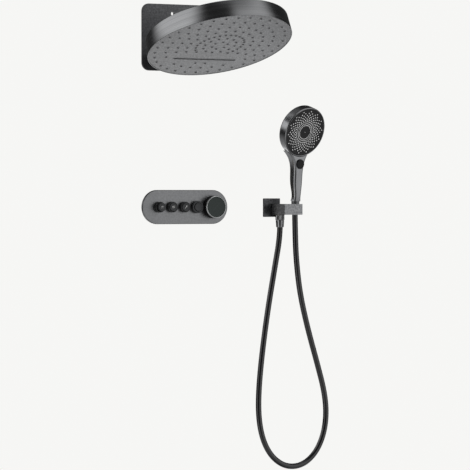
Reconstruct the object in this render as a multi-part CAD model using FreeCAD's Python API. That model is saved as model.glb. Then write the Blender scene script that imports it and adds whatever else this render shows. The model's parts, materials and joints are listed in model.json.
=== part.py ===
import FreeCAD, Part

import math
import os

from FreeCAD import Placement, Rotation, Vector

# Concealed rain shower set: tilting rain disc on a wall plate, thermostatic control panel with
# push buttons, and a hand shower on a wall outlet with its hose.
#
# Millimetres. The finished wall is the plane y = 0. The room is on the -Y side and the inside of
# the wall on the +Y side. X runs to the right along the wall and Z up. The origin is the centre
# of the control panel's back face. A "depth" is a distance out of the wall, so depth d is y = -d.

# ---------------------------------------------------------------- clearances
moving_gap = 0.3
running_gap = 0.05
seat_gap = 0.1
edge_break = 0.6
fusion_bite = 0.5

# ---------------------------------------------------------------- control panel
panel_length = 235.0
panel_height = 83.0
panel_thickness = 7.0
panel_bevel = 1.2
panel_recess = 2.0
panel_seal_inset = 3.0
panel_seal_width = 6.0
panel_lift = 0.6

# ---------------------------------------------------------------- push buttons
button_count = 4
button_first_x = -74.0
button_pitch = 34.5
popped_button = 1
cap_travel = 7.0
cap_front_depth = 20.0
cap_diameter = 20.6
cap_wall = 1.8
ring_diameter = 26.0
last_ring_diameter = 30.0
ring_front_depth = 18.0
ring_web = 2.0
ring_grip_depth = 0.5
ring_grip_count = 36
sleeve_diameter = 16.0
sleeve_tail = 8.0
stem_diameter = 7.0
stem_tail = 30.0
spring_wire = 1.0
spring_diameter = 14.0

# ---------------------------------------------------------------- temperature knob
knob_x = 75.5
knob_diameter = 55.0
knob_front_depth = 27.0
knob_wall = 3.0
knob_bevel = 1.4
knob_cap_thickness = 2.5
knob_grip_depth = 0.6
knob_grip_count = 72
spindle_diameter = 10.0
spindle_tail = 26.0
spindle_hub_diameter = 22.0
spindle_hole_diameter = 18.0
stop_ring_outer = 40.0
stop_ring_inner = 26.0
stop_ring_height = 4.0
stop_button_diameter = 7.0
stop_button_travel = 1.5
stop_button_pressed_stand = 1.0
stop_button_flange = 1.2
knob_screw_diameter = 4.0
knob_screw_length = 12.0
knob_screw_head = 1.6
spindle_thread_length = 10.0

# ---------------------------------------------------------------- valve in the wall
valve_length = 190.0
valve_centre_x = 6.0
valve_height = 50.0
valve_front = -4.0
valve_depth = 46.0
outlet_cartridge_diameter = 24.0
outlet_cartridge_length = 40.0
temperature_cartridge_diameter = 34.0
temperature_cartridge_length = 42.0
cartridge_collar = 2.5
cartridge_lip = 2.0
port_radius = 9.3
port_depth = 12.0
port_boss_radius = 14.0
port_boss_reach = 14.0
inlet_spacing = 100.0
passage_radius = 6.0
bracket_length = 120.0
bracket_height = 66.0
bracket_thickness = 3.0
bracket_screw_diameter = 5.0
bracket_screw_head = 3.0
bracket_corner = 4.0
bracket_screw_span = 100.0
bracket_hole_inset = 6.0

# ---------------------------------------------------------------- overhead wall plate and arm
head_x = -4.0
head_plate_width = 227.0
head_plate_height = 162.0
head_plate_thickness = 5.0
head_plate_corner = 19.0
head_plate_z = 411.5
head_plate_recess = 1.6
head_pad_inset = 4.0
head_screw_diameter = 8.5
head_screw_span_x = 61.0
head_screw_span_z = 116.0
pipe_thread_radius = 10.48
inlet_bore_radius = 7.5
inlet_stub_length = 18.0
inlet_neck_radius = 9.5
inlet_neck_gap = 2.2
arm_width = 40.0
arm_height = 28.0
arm_foot = 5.0

# ---------------------------------------------------------------- overhead disc
disc_radius = 175.0
disc_height = 43.0
disc_taper = 3.0
disc_wall = 2.5
disc_depth = 186.5
disc_z = 384.0
disc_tilt = 21.5
disc_edge = 2.0
face_recess = 0.8
face_thickness = 3.0
slot_length = 168.0
slot_width = 5.0
slot_offset = 81.0
slot_clear_x = 94.0
slot_clear_rear = 23.0
slot_clear_front = 35.0
nozzle_rings = ((158.0, 33), (131.0, 29), (105.0, 25), (81.0, 21), (59.0, 27), (40.0, 12), (19.0, 6))
insert_wall = 3.0
insert_height = 20.0
nozzle_hole_diameter = 4.4
nozzle_diameter = 3.4
nozzle_stand = 1.2
nozzle_mat_thickness = 2.0
nozzle_tip_share = 0.72
face_seal_width = 6.0
face_seal_inset = 2.0
mat_edge_gap = 1.0
chamber_plate_thickness = 2.0
pivot_inset = 30.0
pivot_rise = 14.0
barrel_radius = 11.5
barrel_length = 36.0
lug_thickness = 12.0
lug_gap = 0.6
pin_radius = 5.0
pin_bore_radius = 3.0
pin_ring_thickness = 1.5
pin_ring_width = 2.5
pin_groove_depth = 0.6
pin_end = 3.0
pin_plug = 2.0
bracket_base_thickness = 5.0
bracket_base_depth = 56.0
bracket_base_width = 90.0
bracket_screw_radius = 2.5
bracket_screw_cap = 3.0
bracket_screw_rows = (12.0, 30.0)
bracket_screw_inset = 7.0

# ---------------------------------------------------------------- wall outlet and handset holder
holder_x = 245.0
holder_z = -2.0
holder_plate_size = 46.0
holder_plate_thickness = 6.0
holder_plate_corner = 1.5
block_left = -1.5
block_right = 50.0
block_front_depth = 70.0
block_arm_depth = 27.0
block_stem_width = 24.0
block_top = 9.2
block_height = 26.6
block_edge = 1.0
outlet_offset = 12.5
inlet_offset = 9.0
outlet_depth = 23.0
outlet_stub_length = 10.0
outlet_stub_radius = 9.0
outlet_bore_radius = 5.5
cup_offset = 37.0
cup_depth = 56.0
cup_lean = 4.0
cup_slot_width = 16.0
liner_wall = 0.8
liner_inset = 1.5
wall_nut_top_radius = 11.2
wall_nut_bottom_radius = 9.4
wall_nut_length = 31.0
nut_bore_radius = 7.1
nut_head_height = 13.0
washer_thickness = 2.0
grub_screw_radius = 2.0
grub_screw_length = 8.0
grub_screw_depth = 14.0

# ---------------------------------------------------------------- handset
handset_yaw = 11.0
cone_top_radius = 9.0
cone_bottom_radius = 8.1
cone_height = 26.0
cone_collar_radius = 10.2
cone_collar_height = 6.3
handle_base_width = 22.5
handle_base_thickness = 20.0
handle_neck_width = 30.0
handle_neck_thickness = 24.0
handle_neck_height = 84.0
handle_corner = 7.0
hand_disc_radius = 63.0
hand_disc_thickness = 30.0
hand_disc_height = 171.0
hand_disc_forward = 27.5
hand_face_pitch = 15.0
hand_disc_side = 22.0
hand_back_radius = 50.0
hand_wall = 3.0
hand_rim_width = 3.0
hand_rim_height = 5.0
hand_face_recess = 1.0
hand_face_thickness = 2.5
hand_nozzle_diameter = 2.0
hand_nozzle_stand = 0.6
hand_nozzle_rings = ((31.5, 28), (35.5, 28), (39.5, 28), (44.0, 28), (48.5, 28), (53.5, 14))
mode_button_height = 92.0
mode_button_radius = 12.0
mode_button_stand = 3.5
mode_button_inset = 1.5
mode_button_travel = 2.0
hand_nozzle_swirl = 360.0 / 56
waterway_radius = 5.0
waterway_wall = 1.2

# ---------------------------------------------------------------- hose
hose_radius = 7.0
hose_route = (
    (256.5, 23.0, -80.0),
    (244.0, 23.5, -141.0),
    (220.0, 24.5, -264.0),
    (201.0, 27.0, -384.0),
    (192.0, 29.0, -472.0),
    (193.5, 31.0, -535.0),
    (207.0, 33.0, -586.0),
    (233.0, 34.5, -623.5),
    (270.5, 36.0, -644.5),
    (313.0, 37.5, -642.0),
    (348.5, 39.5, -616.0),
    (371.5, 41.5, -573.0),
    (380.0, 43.5, -520.0),
    (373.5, 45.0, -462.0),
    (351.0, 46.5, -389.0),
    (322.0, 48.5, -301.0),
    (299.0, 50.5, -216.0),
    (288.0, 52.0, -140.0),
    (284.0, 52.5, -79.0),
)

OUT = Vector(0, -1, 0)
UP = Vector(0, 0, 1)
DOWN = Vector(0, 0, -1)
RIGHT = Vector(1, 0, 0)


# ================================================================ helpers
def at(x, depth, z):
    """A point from its place along the wall, its depth out of the wall and its height."""
    return Vector(x, -depth, z)


def block(x_range, depth_range, z_range):
    """A box between two places on each of the three directions."""
    size_x = x_range[1] - x_range[0]
    size_y = depth_range[1] - depth_range[0]
    size_z = z_range[1] - z_range[0]
    return Part.makeBox(size_x, size_y, size_z, at(x_range[0], depth_range[1], z_range[0]))


def rod(radius, length, start, direction):
    """A round bar from a start point along a direction."""
    return Part.makeCylinder(radius, length, start, direction)


def tube(outer, inner, length, start, direction):
    """A round bar with a round hole right through it."""
    return rod(outer, length, start, direction).cut(rod(inner, length, start, direction))


def taper(start_radius, end_radius, length, start, direction):
    """A cone frustum from a start point along a direction."""
    return Part.makeCone(start_radius, end_radius, length, start, direction)


def stadium(length, height, centre_x, depth_range):
    """A bar with two round ends lying along X, between two depths."""
    end = height / 2
    half = length / 2 - end
    start = depth_range[0]
    left = centre_x - half
    right = centre_x + half
    edges = [
        Part.LineSegment(at(left, start, -end), at(right, start, -end)).toShape(),
        Part.Arc(at(right, start, -end), at(right + end, start, 0), at(right, start, end)).toShape(),
        Part.LineSegment(at(right, start, end), at(left, start, end)).toShape(),
        Part.Arc(at(left, start, end), at(left - end, start, 0), at(left, start, -end)).toShape(),
    ]
    face = Part.Face(Part.Wire(edges))
    return face.extrude(OUT * (depth_range[1] - depth_range[0]))


def edges_at_depth(shape, depth):
    """The edges of a shape that lie wholly in the plane at one depth."""
    found = []
    for edge in shape.Edges:
        box = edge.BoundBox
        if abs(box.YMin + depth) < 1e-4 and abs(box.YMax + depth) < 1e-4:
            found.append(edge)
    return found


def edges_along(shape, direction):
    """The straight edges of a shape that run along a direction."""
    found = []
    for edge in shape.Edges:
        if edge.Curve.TypeId == "Part::GeomLine":
            if abs(abs(edge.Curve.Direction.dot(direction)) - 1) < 1e-6:
                found.append(edge)
    return found


def circle_points(count, radius, first_angle=0.0):
    """Points evenly spaced on a circle, as pairs."""
    points = []
    for index in range(count):
        angle = math.radians(first_angle + 360.0 * index / count)
        points.append((radius * math.cos(angle), radius * math.sin(angle)))
    return points


def joined(shapes):
    """Several touching shapes as one solid."""
    whole = shapes[0].multiFuse(shapes[1:])
    return whole.removeSplitter()


def knurled(body, start, direction, length, radius, count, groove):
    """A round body with straight grip grooves cut along its side."""
    turn = Rotation(UP, direction)
    grooves = []
    for u, v in circle_points(count, radius + groove * 0.4):
        place = start + turn.multVec(Vector(u, v, 0))
        grooves.append(rod(groove, length, place, direction))
    return body.cut(Part.makeCompound(grooves))


def save(node, shape):
    """Write one node as a STEP file and print its size."""
    shape.exportStep("parts/" + node + ".step")
    box = shape.BoundBox
    size = "{:.1f} x {:.1f} x {:.1f}".format(box.XLength, box.YLength, box.ZLength)
    print(node, "solids", len(shape.Solids), "valid", shape.isValid(), "size", size)


# ================================================================ frames of the tilted groups
def disc_placement():
    """Places shapes drawn about the disc's face centre, +Z up through the drum and -Y outward."""
    return Placement(at(head_x, disc_depth, disc_z), Rotation(RIGHT, -disc_tilt))


def cup_placement():
    """Places shapes drawn about the cone's top centre, +Z up along the leaning cone."""
    origin = at(holder_x + cup_offset, cup_depth, holder_z + block_top)
    return Placement(origin, Rotation(RIGHT, cup_lean))


def handset_placement():
    """The cone's frame turned by the handset's swivel."""
    return cup_placement().multiply(Placement(Vector(), Rotation(UP, handset_yaw)))


def placed(shape, placement):
    """A copy of a shape, moved from its own frame to where it sits."""
    moved = shape.copy()
    moved.Placement = placement.multiply(moved.Placement)
    return moved


# ================================================================ control panel
def button_x(number):
    """Place of a button along the panel, numbered from the left."""
    return button_first_x + (number - 1) * button_pitch


def cap_depth(number):
    """Depth of a cap's front: the popped button stands out by its travel."""
    if number == popped_button:
        return cap_front_depth + cap_travel
    return cap_front_depth


def grip_diameter(number):
    """Outer diameter of a flow ring: the last one is larger."""
    if number == button_count:
        return last_ring_diameter
    return ring_diameter


def make_panel():
    """The stadium plate with its holes, and the seal in its back."""
    plate = stadium(panel_length, panel_height, 0, (0, panel_thickness))
    plate = plate.makeChamfer(panel_bevel, edges_at_depth(plate, panel_thickness))
    inset = 2 * panel_seal_inset
    outer = stadium(panel_length - inset, panel_height - inset, 0, (0, panel_recess))
    inset += 2 * panel_seal_width
    inner = stadium(panel_length - inset, panel_height - inset, 0, (0, panel_recess))
    hollow = stadium(panel_length - inset, panel_height - inset, 0, (0, panel_recess * 1.5))
    plate = plate.cut(outer).cut(hollow)
    holes = []
    for number in range(1, button_count + 1):
        hole_radius = sleeve_diameter / 2 + moving_gap
        holes.append(rod(hole_radius, panel_thickness, at(button_x(number), 0, 0), OUT))
    holes.append(rod(spindle_hole_diameter / 2, panel_thickness, at(knob_x, 0, 0), OUT))
    save("panel_plate", plate.cut(Part.makeCompound(holes)))
    save("panel_seal", outer.cut(inner))


def make_flow_ring(number):
    """A knurled ring with a web and a hollow sleeve that turns the cartridge."""
    x = button_x(number)
    back = panel_thickness + panel_lift
    outer = grip_diameter(number) / 2
    length = ring_front_depth - back
    grip = rod(outer, length, at(x, back, 0), OUT)
    grip = grip.makeChamfer(edge_break, edges_at_depth(grip, ring_front_depth))
    grip = knurled(grip, at(x, back, 0), OUT, length, outer, ring_grip_count, ring_grip_depth)
    pocket = rod(cap_diameter / 2 + moving_gap, length, at(x, back + ring_web, 0), OUT)
    sleeve = rod(sleeve_diameter / 2, sleeve_tail + back + fusion_bite, at(x, -sleeve_tail, 0), OUT)
    bore = rod(stem_diameter / 2 + moving_gap, stem_tail + ring_front_depth, at(x, -stem_tail, 0), OUT)
    ring = joined([grip.cut(pocket), sleeve]).cut(bore)
    save("flow_ring_" + str(number), ring)


def make_push_cap(number):
    """A cap with a skirt and a stem that reaches into its cartridge."""
    x = button_x(number)
    front = cap_depth(number)
    radius = cap_diameter / 2
    skirt_length = cap_front_depth - panel_thickness - panel_lift - ring_web - moving_gap
    skirt_start = front - skirt_length
    cap = rod(radius, skirt_length, at(x, skirt_start, 0), OUT)
    cap = cap.makeChamfer(edge_break, edges_at_depth(cap, front))
    cap = cap.cut(rod(radius - cap_wall, skirt_length - cap_wall, at(x, skirt_start, 0), OUT))
    stem_length = stem_tail + cap_front_depth - cap_wall / 2
    stem = rod(stem_diameter / 2, stem_length, at(x, front - cap_front_depth - stem_tail, 0), OUT)
    save("push_cap_" + str(number), joined([cap, stem]))


def make_push_spring(number):
    """A stack of spring coils between the ring's web and the cap's inside."""
    x = button_x(number)
    start = panel_thickness + panel_lift + ring_web + seat_gap
    end = cap_depth(number) - cap_wall - seat_gap
    mean_radius = spring_diameter / 2 - spring_wire / 2
    coils = max(3, int((end - start) / (2.2 * spring_wire)))
    step = (end - start - spring_wire) / (coils - 1)
    rings = []
    for index in range(coils):
        centre = at(x, start + spring_wire / 2 + index * step, 0)
        rings.append(Part.makeTorus(mean_radius, spring_wire / 2, centre, OUT))
    save("push_spring_" + str(number), Part.makeCompound(rings))


def make_cartridges():
    """The four outlet cartridges and the temperature cartridge, in their bores."""
    group = []
    for number in range(1, button_count + 1):
        x = button_x(number)
        body = rod(outlet_cartridge_diameter / 2, outlet_cartridge_length,
                   at(x, valve_front - outlet_cartridge_length, 0), OUT)
        collar = rod(outlet_cartridge_diameter / 2 + cartridge_lip, cartridge_collar,
                     at(x, valve_front, 0), OUT)
        mouth = rod(sleeve_diameter / 2 + moving_gap, sleeve_tail + moving_gap,
                    at(x, -sleeve_tail - moving_gap, 0), OUT)
        bore = rod(stem_diameter / 2 + moving_gap, stem_tail + cap_travel + moving_gap,
                   at(x, -stem_tail - cap_travel - moving_gap, 0), OUT)
        group.append(joined([body, collar]).cut(mouth).cut(bore))
    save("outlet_cartridges", Part.makeCompound(group))
    body = rod(temperature_cartridge_diameter / 2, temperature_cartridge_length,
               at(knob_x, valve_front - temperature_cartridge_length, 0), OUT)
    collar = rod(temperature_cartridge_diameter / 2 + cartridge_lip, cartridge_collar,
                 at(knob_x, valve_front, 0), OUT)
    bore = rod(spindle_diameter / 2 + moving_gap, spindle_tail + moving_gap,
               at(knob_x, -spindle_tail - moving_gap, 0), OUT)
    save("temperature_cartridge", joined([body, collar]).cut(bore))


def port_places():
    """Each port of the valve: its name, place along X and direction, up or down."""
    places = []
    for number in range(1, button_count + 1):
        places.append((button_x(number), UP))
    places.append((cold_inlet_x(), DOWN))
    places.append((knob_x, DOWN))
    return places


def cold_inlet_x():
    """Place of the cold inlet along the valve: the hot one is under the temperature cartridge."""
    return knob_x - inlet_spacing


def make_valve():
    """The mixing body with cartridge bores, four outlets on top and two inlets below."""
    depths = (valve_front - valve_depth, valve_front)
    body = stadium(valve_length, valve_height, valve_centre_x, depths)
    middle = valve_front - valve_depth / 2
    bosses = [body]
    cuts = []
    for x, way in port_places():
        foot = at(x, middle, 0)
        reach = valve_height / 2 + port_boss_reach
        bosses.append(rod(port_boss_radius, reach, foot, way))
        mouth = foot + way * (reach - port_depth)
        cuts.append(rod(port_radius, port_depth, mouth, way))
        if x != cold_inlet_x():
            cuts.append(rod(passage_radius, reach, foot, way))
    for number in range(1, button_count + 1):
        cuts.append(rod(outlet_cartridge_diameter / 2 + seat_gap, outlet_cartridge_length + seat_gap,
                        at(button_x(number), valve_front - outlet_cartridge_length - seat_gap, 0),
                        OUT))
    cuts.append(rod(temperature_cartridge_diameter / 2 + seat_gap,
                    temperature_cartridge_length + seat_gap,
                    at(knob_x, valve_front - temperature_cartridge_length - seat_gap, 0), OUT))
    save("valve_body", joined(bosses).cut(Part.makeCompound(cuts)))


def make_valve_bracket():
    """A flat bracket behind the valve with a screw at each end."""
    back = valve_front - valve_depth - bracket_thickness
    left = valve_centre_x - bracket_length / 2
    right = valve_centre_x + bracket_length / 2
    plate = block((left, right), (back, back + bracket_thickness),
                  (-bracket_height / 2, bracket_height / 2))
    plate = plate.makeFillet(bracket_corner, edges_along(plate, OUT))
    screws = []
    for side in (-1, 1):
        for level in (-1, 1):
            place = at(valve_centre_x + side * bracket_screw_span / 2, back,
                       level * (bracket_height / 2 - bracket_hole_inset))
            plate = plate.cut(rod(bracket_screw_diameter / 2, bracket_thickness, place, OUT))
    for side in (-1, 1):
        x = valve_centre_x + side * bracket_screw_span / 2
        plate = plate.cut(rod(bracket_screw_diameter / 2, bracket_thickness, at(x, back, 0), OUT))
        head = rod(bracket_screw_diameter, bracket_screw_head, at(x, back - bracket_screw_head, 0), OUT)
        shank = rod(bracket_screw_diameter / 2 - seat_gap, bracket_thickness - seat_gap,
                    at(x, back, 0), OUT)
        screws.append(joined([head, shank]))
    save("valve_bracket", plate)
    save("valve_bracket_screws", Part.makeCompound(screws))


def make_temperature_knob():
    """Spindle, knurled knob, front cap, axial screw, stop ring and the side stop button."""
    radius = knob_diameter / 2
    back = panel_thickness + panel_lift
    body = rod(radius, knob_front_depth - back, at(knob_x, back, 0), OUT)
    body = body.makeChamfer(knob_bevel, edges_at_depth(body, knob_front_depth))
    body = knurled(body, at(knob_x, back, 0), OUT, knob_front_depth - back - knob_bevel * 1.5,
                   radius, knob_grip_count, knob_grip_depth)
    web_depth = knob_front_depth - knob_cap_thickness - knob_wall
    room = rod(radius - knob_wall, web_depth - back, at(knob_x, back, 0), OUT)
    cap_radius = radius - knob_bevel - 1.0
    cap_seat = rod(cap_radius + seat_gap, knob_cap_thickness,
                   at(knob_x, knob_front_depth - knob_cap_thickness, 0), OUT)
    hub = rod(spindle_hub_diameter / 2, web_depth - back + fusion_bite, at(knob_x, back, 0), OUT)
    socket = rod(spindle_diameter / 2 + seat_gap, web_depth - back, at(knob_x, back, 0), OUT)
    screw_hole = rod(knob_screw_diameter / 2 + seat_gap, knob_front_depth - back,
                     at(knob_x, back, 0), OUT)
    stop_hole = rod(stop_button_diameter / 2 + moving_gap, radius,
                    at(knob_x + radius / 2, (back + web_depth) / 2, 0), RIGHT)
    knob = joined([body.cut(room), hub]).cut(cap_seat).cut(socket).cut(screw_hole).cut(stop_hole)
    save("temperature_knob", knob)
    cap = rod(cap_radius, knob_cap_thickness - seat_gap,
              at(knob_x, knob_front_depth - knob_cap_thickness + seat_gap, 0), OUT)
    cap = cap.cut(rod(knob_screw_diameter, knob_screw_head + seat_gap,
                      at(knob_x, knob_front_depth - knob_cap_thickness + seat_gap, 0), OUT))
    save("temperature_knob_cap", cap)
    spindle = rod(spindle_diameter / 2, spindle_tail + web_depth - seat_gap,
                  at(knob_x, -spindle_tail, 0), OUT)
    thread = rod(knob_screw_diameter / 2, spindle_thread_length,
                 at(knob_x, web_depth - spindle_thread_length, 0), OUT)
    save("temperature_spindle", spindle.cut(thread))
    shank = rod(knob_screw_diameter / 2 - seat_gap, knob_screw_length,
                at(knob_x, web_depth + knob_wall + seat_gap - knob_screw_length, 0), OUT)
    head = rod(knob_screw_diameter - seat_gap, knob_screw_head - seat_gap,
               at(knob_x, web_depth + knob_wall, 0), OUT)
    save("temperature_knob_screw", joined([shank, head]))
    stop_ring = tube(stop_ring_outer / 2, stop_ring_inner / 2, stop_ring_height,
                     at(knob_x, panel_thickness, 0), OUT)
    save("temperature_stop_ring", stop_ring)
    level = (back + web_depth) / 2
    flange_radius = stop_button_diameter / 2 + stop_button_flange
    flange_reach = math.sqrt((radius - knob_wall) ** 2 - flange_radius ** 2) - moving_gap
    flange_start = knob_x + flange_reach - stop_button_flange
    button_end = knob_x + radius + stop_button_travel + stop_button_pressed_stand
    button = rod(stop_button_diameter / 2, button_end - flange_start, at(flange_start, level, 0), RIGHT)
    flange = rod(flange_radius, stop_button_flange, at(flange_start, level, 0), RIGHT)
    save("stop_button", joined([button, flange]))


# ================================================================ overhead group
def make_head_plate():
    """The rectangular wall plate with four screw holes, and the seal in its back."""
    half_width = head_plate_width / 2
    half_height = head_plate_height / 2
    levels = (head_plate_z - half_height, head_plate_z + half_height)
    sides = (head_x - half_width, head_x + half_width)
    plate = block(sides, (0, head_plate_thickness), levels)
    plate = plate.makeFillet(head_plate_corner, edges_along(plate, OUT))
    plate = plate.makeChamfer(edge_break, edges_at_depth(plate, head_plate_thickness))
    inner_levels = (levels[0] + head_pad_inset, levels[1] - head_pad_inset)
    inner_sides = (sides[0] + head_pad_inset, sides[1] - head_pad_inset)
    pad = block(inner_sides, (0, head_plate_recess), inner_levels)
    pad = pad.makeFillet(head_plate_corner - head_pad_inset, edges_along(pad, OUT))
    holes = []
    for side in (-1, 1):
        for level in (-1, 1):
            place = at(head_x + side * head_screw_span_x / 2, 0,
                       head_plate_z + level * head_screw_span_z / 2)
            holes.append(rod(head_screw_diameter / 2, head_plate_thickness, place, OUT))
    pivot = pivot_point()
    holes.append(rod(inlet_neck_radius + seat_gap, head_plate_thickness, at(head_x, 0, pivot.z), OUT))
    holes = Part.makeCompound(holes)
    save("head_wall_plate", plate.cut(pad).cut(holes))
    save("head_plate_seal", pad.cut(holes))


def pivot_point():
    """The middle of the tilt hinge's axis."""
    local = Vector(0, disc_radius - pivot_inset, disc_height + pivot_rise)
    return disc_placement().multVec(local)


def inlet_nipple(x, z, plate_thickness):
    """A pipe stub into the wall: a neck through the plate, then the full thread diameter."""
    start = at(x, -inlet_stub_length, z)
    length = inlet_stub_length + plate_thickness
    thread = rod(pipe_thread_radius, inlet_stub_length - inlet_neck_gap, start, OUT)
    neck = rod(inlet_neck_radius, length, start, OUT)
    return joined([thread, neck]).cut(rod(inlet_bore_radius, length, start, OUT))


def make_head_arm():
    """The arm from the wall to the hinge barrel, its pipe stub, the hollow pin and its rings."""
    pivot = pivot_point()
    pivot_depth = -pivot.y
    levels = (pivot.z - arm_height / 2, pivot.z + arm_height / 2)
    foot = block((head_x - arm_width / 2, head_x + arm_width / 2),
                 (head_plate_thickness, head_plate_thickness + arm_foot), levels)
    neck_half = barrel_radius
    neck = block((head_x - barrel_length / 2, head_x + barrel_length / 2),
                 (head_plate_thickness, pivot_depth),
                 (pivot.z - neck_half, pivot.z + neck_half))
    barrel = rod(barrel_radius, barrel_length, pivot - RIGHT * (barrel_length / 2), RIGHT)
    bore = rod(pin_radius + seat_gap, barrel_length, pivot - RIGHT * (barrel_length / 2), RIGHT)
    water = rod(inlet_bore_radius, pivot_depth - head_plate_thickness - pin_radius,
                at(head_x, head_plate_thickness, pivot.z), OUT)
    link = rod(pin_bore_radius, pivot_depth - head_plate_thickness,
               at(head_x, head_plate_thickness, pivot.z), OUT)
    save("head_arm", joined([foot, neck, barrel]).cut(bore).cut(water).cut(link))
    save("head_inlet_nipple", inlet_nipple(head_x, pivot.z, head_plate_thickness))
    pin_half = barrel_length / 2 + lug_gap + lug_thickness + pin_end
    pin = rod(pin_radius, 2 * pin_half, pivot - RIGHT * pin_half, RIGHT)
    pin = pin.cut(rod(pin_bore_radius, 2 * (pin_half - pin_plug), pivot - RIGHT * (pin_half - pin_plug),
                      RIGHT))
    rings = []
    for side in (-1, 1):
        inner_face = barrel_length / 2 + lug_gap + lug_thickness + moving_gap
        start = pivot + RIGHT * (side * inner_face)
        core = pin_radius - pin_groove_depth
        rings.append(tube(pin_radius + pin_ring_width, core, pin_ring_thickness, start, RIGHT * side))
        groove = tube(pin_radius, core, pin_ring_thickness, start, RIGHT * side)
        pin = pin.cut(groove)
    save("tilt_pin", pin)
    save("tilt_pin_rings", Part.makeCompound(rings))


def make_head_bracket():
    """The clevis on top of the drum and its four screws."""
    placement = disc_placement()
    pivot_y = disc_radius - pivot_inset
    lug_start = barrel_length / 2 + lug_gap
    base = Part.makeBox(bracket_base_width, bracket_base_depth, bracket_base_thickness,
                        Vector(-bracket_base_width / 2, pivot_y - bracket_base_depth + barrel_radius,
                               disc_height))
    relief = rod(barrel_radius + moving_gap, barrel_length + 2 * lug_gap,
                 Vector(-lug_start, pivot_y, disc_height + pivot_rise), RIGHT)
    arm_room = Part.makeBox(barrel_length + 2 * lug_gap, 2 * barrel_radius, 2 * pivot_rise,
                            Vector(-lug_start, pivot_y, disc_height))
    shapes = [base]
    for side in (-1, 1):
        start = Vector(side * lug_start, pivot_y, disc_height + pivot_rise)
        shapes.append(rod(barrel_radius, lug_thickness, start, RIGHT * side))
        x_low = min(side * lug_start, side * (lug_start + lug_thickness))
        shapes.append(Part.makeBox(lug_thickness, 2 * barrel_radius, pivot_rise,
                                   Vector(x_low, pivot_y - barrel_radius, disc_height)))
    bracket = joined(shapes).cut(relief).cut(arm_room)
    pin_hole = rod(pin_radius + running_gap, bracket_base_width,
                   Vector(-bracket_base_width / 2, pivot_y, disc_height + pivot_rise), RIGHT)
    bracket = bracket.cut(pin_hole)
    screws = []
    for side in (-1, 1):
        for row in bracket_screw_rows:
            x = side * (bracket_base_width / 2 - bracket_screw_inset)
            y = pivot_y + barrel_radius - row
            hole = rod(bracket_screw_radius + seat_gap, bracket_base_thickness,
                       Vector(x, y, disc_height), UP)
            bracket = bracket.cut(hole)
            shank = rod(bracket_screw_radius, bracket_base_thickness + seat_gap,
                        Vector(x, y, disc_height), UP)
            head = rod(bracket_screw_radius * 1.8, bracket_screw_cap,
                       Vector(x, y, disc_height + bracket_base_thickness + seat_gap), UP)
            screws.append(placed(joined([shank, head]), placement))
    save("head_bracket", placed(bracket, placement))
    save("head_bracket_screws", Part.makeCompound(screws))


def nozzle_pattern():
    """Nozzle places on the face: rings about its centre, with a clear band round the slot."""
    places = []
    for radius, count in nozzle_rings:
        for x, y in circle_points(count, radius, -90.0):
            in_band = slot_offset - slot_clear_front < y < slot_offset + slot_clear_rear
            if not (in_band and abs(x) < slot_clear_x):
                places.append((x, y))
    return places


def make_head_drum():
    """Shell, face plate, seal, nozzle mat, slot nozzle and the inner partition."""
    placement = disc_placement()
    top_radius = disc_radius - disc_taper
    outer = taper(disc_radius, top_radius, disc_height, Vector(0, 0, 0), UP)
    rims = []
    for edge in outer.Edges:
        if edge.BoundBox.ZMin > disc_height - 1e-3:
            rims.append(edge)
    outer = outer.makeFillet(disc_edge, rims)
    inner = taper(disc_radius - disc_wall, top_radius - disc_wall, disc_height - disc_wall,
                  Vector(0, 0, 0), UP)
    save("head_shell", placed(outer.cut(inner), placement))

    face_radius = disc_radius - disc_wall - seat_gap
    face = rod(face_radius - disc_taper * face_thickness / disc_height, face_thickness,
               Vector(0, 0, face_recess), UP)
    slot = Part.makeBox(slot_length, slot_width, 2 * disc_height,
                        Vector(-slot_length / 2, slot_offset - slot_width / 2, -disc_height))
    slot = slot.makeFillet(slot_width / 2 - running_gap, edges_along(slot, UP))
    nozzle_holes = []
    nozzle_tips = []
    for x, y in nozzle_pattern():
        nozzle_holes.append(rod(nozzle_hole_diameter / 2, face_thickness, Vector(x, y, face_recess), UP))
        foot = Vector(x, y, face_recess - nozzle_stand)
        nozzle_tips.append(taper(nozzle_diameter / 2 * nozzle_tip_share, nozzle_diameter / 2,
                                 face_thickness + nozzle_stand + fusion_bite, foot, UP))
    face = face.cut(slot).cut(Part.makeCompound(nozzle_holes))
    save("head_face_plate", placed(face, placement))

    mat_bottom = face_recess + face_thickness + seat_gap
    seal_outer = face_radius - face_seal_inset
    seal_inner = seal_outer - face_seal_width
    seal = tube(seal_outer, seal_inner, nozzle_mat_thickness, Vector(0, 0, mat_bottom), UP)
    save("head_face_seal", placed(seal, placement))
    insert_length = slot_length + 2 * insert_wall
    insert_width = slot_width + 2 * insert_wall
    insert = Part.makeBox(insert_length, insert_width, insert_height,
                          Vector(-insert_length / 2, slot_offset - insert_width / 2, mat_bottom))
    mat = rod(seal_inner - mat_edge_gap, nozzle_mat_thickness, Vector(0, 0, mat_bottom), UP)
    opening = Part.makeBox(insert_length + 2 * mat_edge_gap, insert_width + 2 * mat_edge_gap,
                           nozzle_mat_thickness,
                           Vector(-insert_length / 2 - mat_edge_gap,
                                  slot_offset - insert_width / 2 - mat_edge_gap, mat_bottom))
    mat = joined([mat.cut(opening)] + nozzle_tips)
    save("rain_nozzles", placed(mat, placement))
    save("waterfall_insert", placed(insert.cut(slot), placement))
    plate_bottom = mat_bottom + insert_height
    partition = rod(top_radius - disc_wall - moving_gap, chamber_plate_thickness,
                    Vector(0, 0, plate_bottom), UP)
    save("head_chamber_plate", placed(partition, placement))


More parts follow.
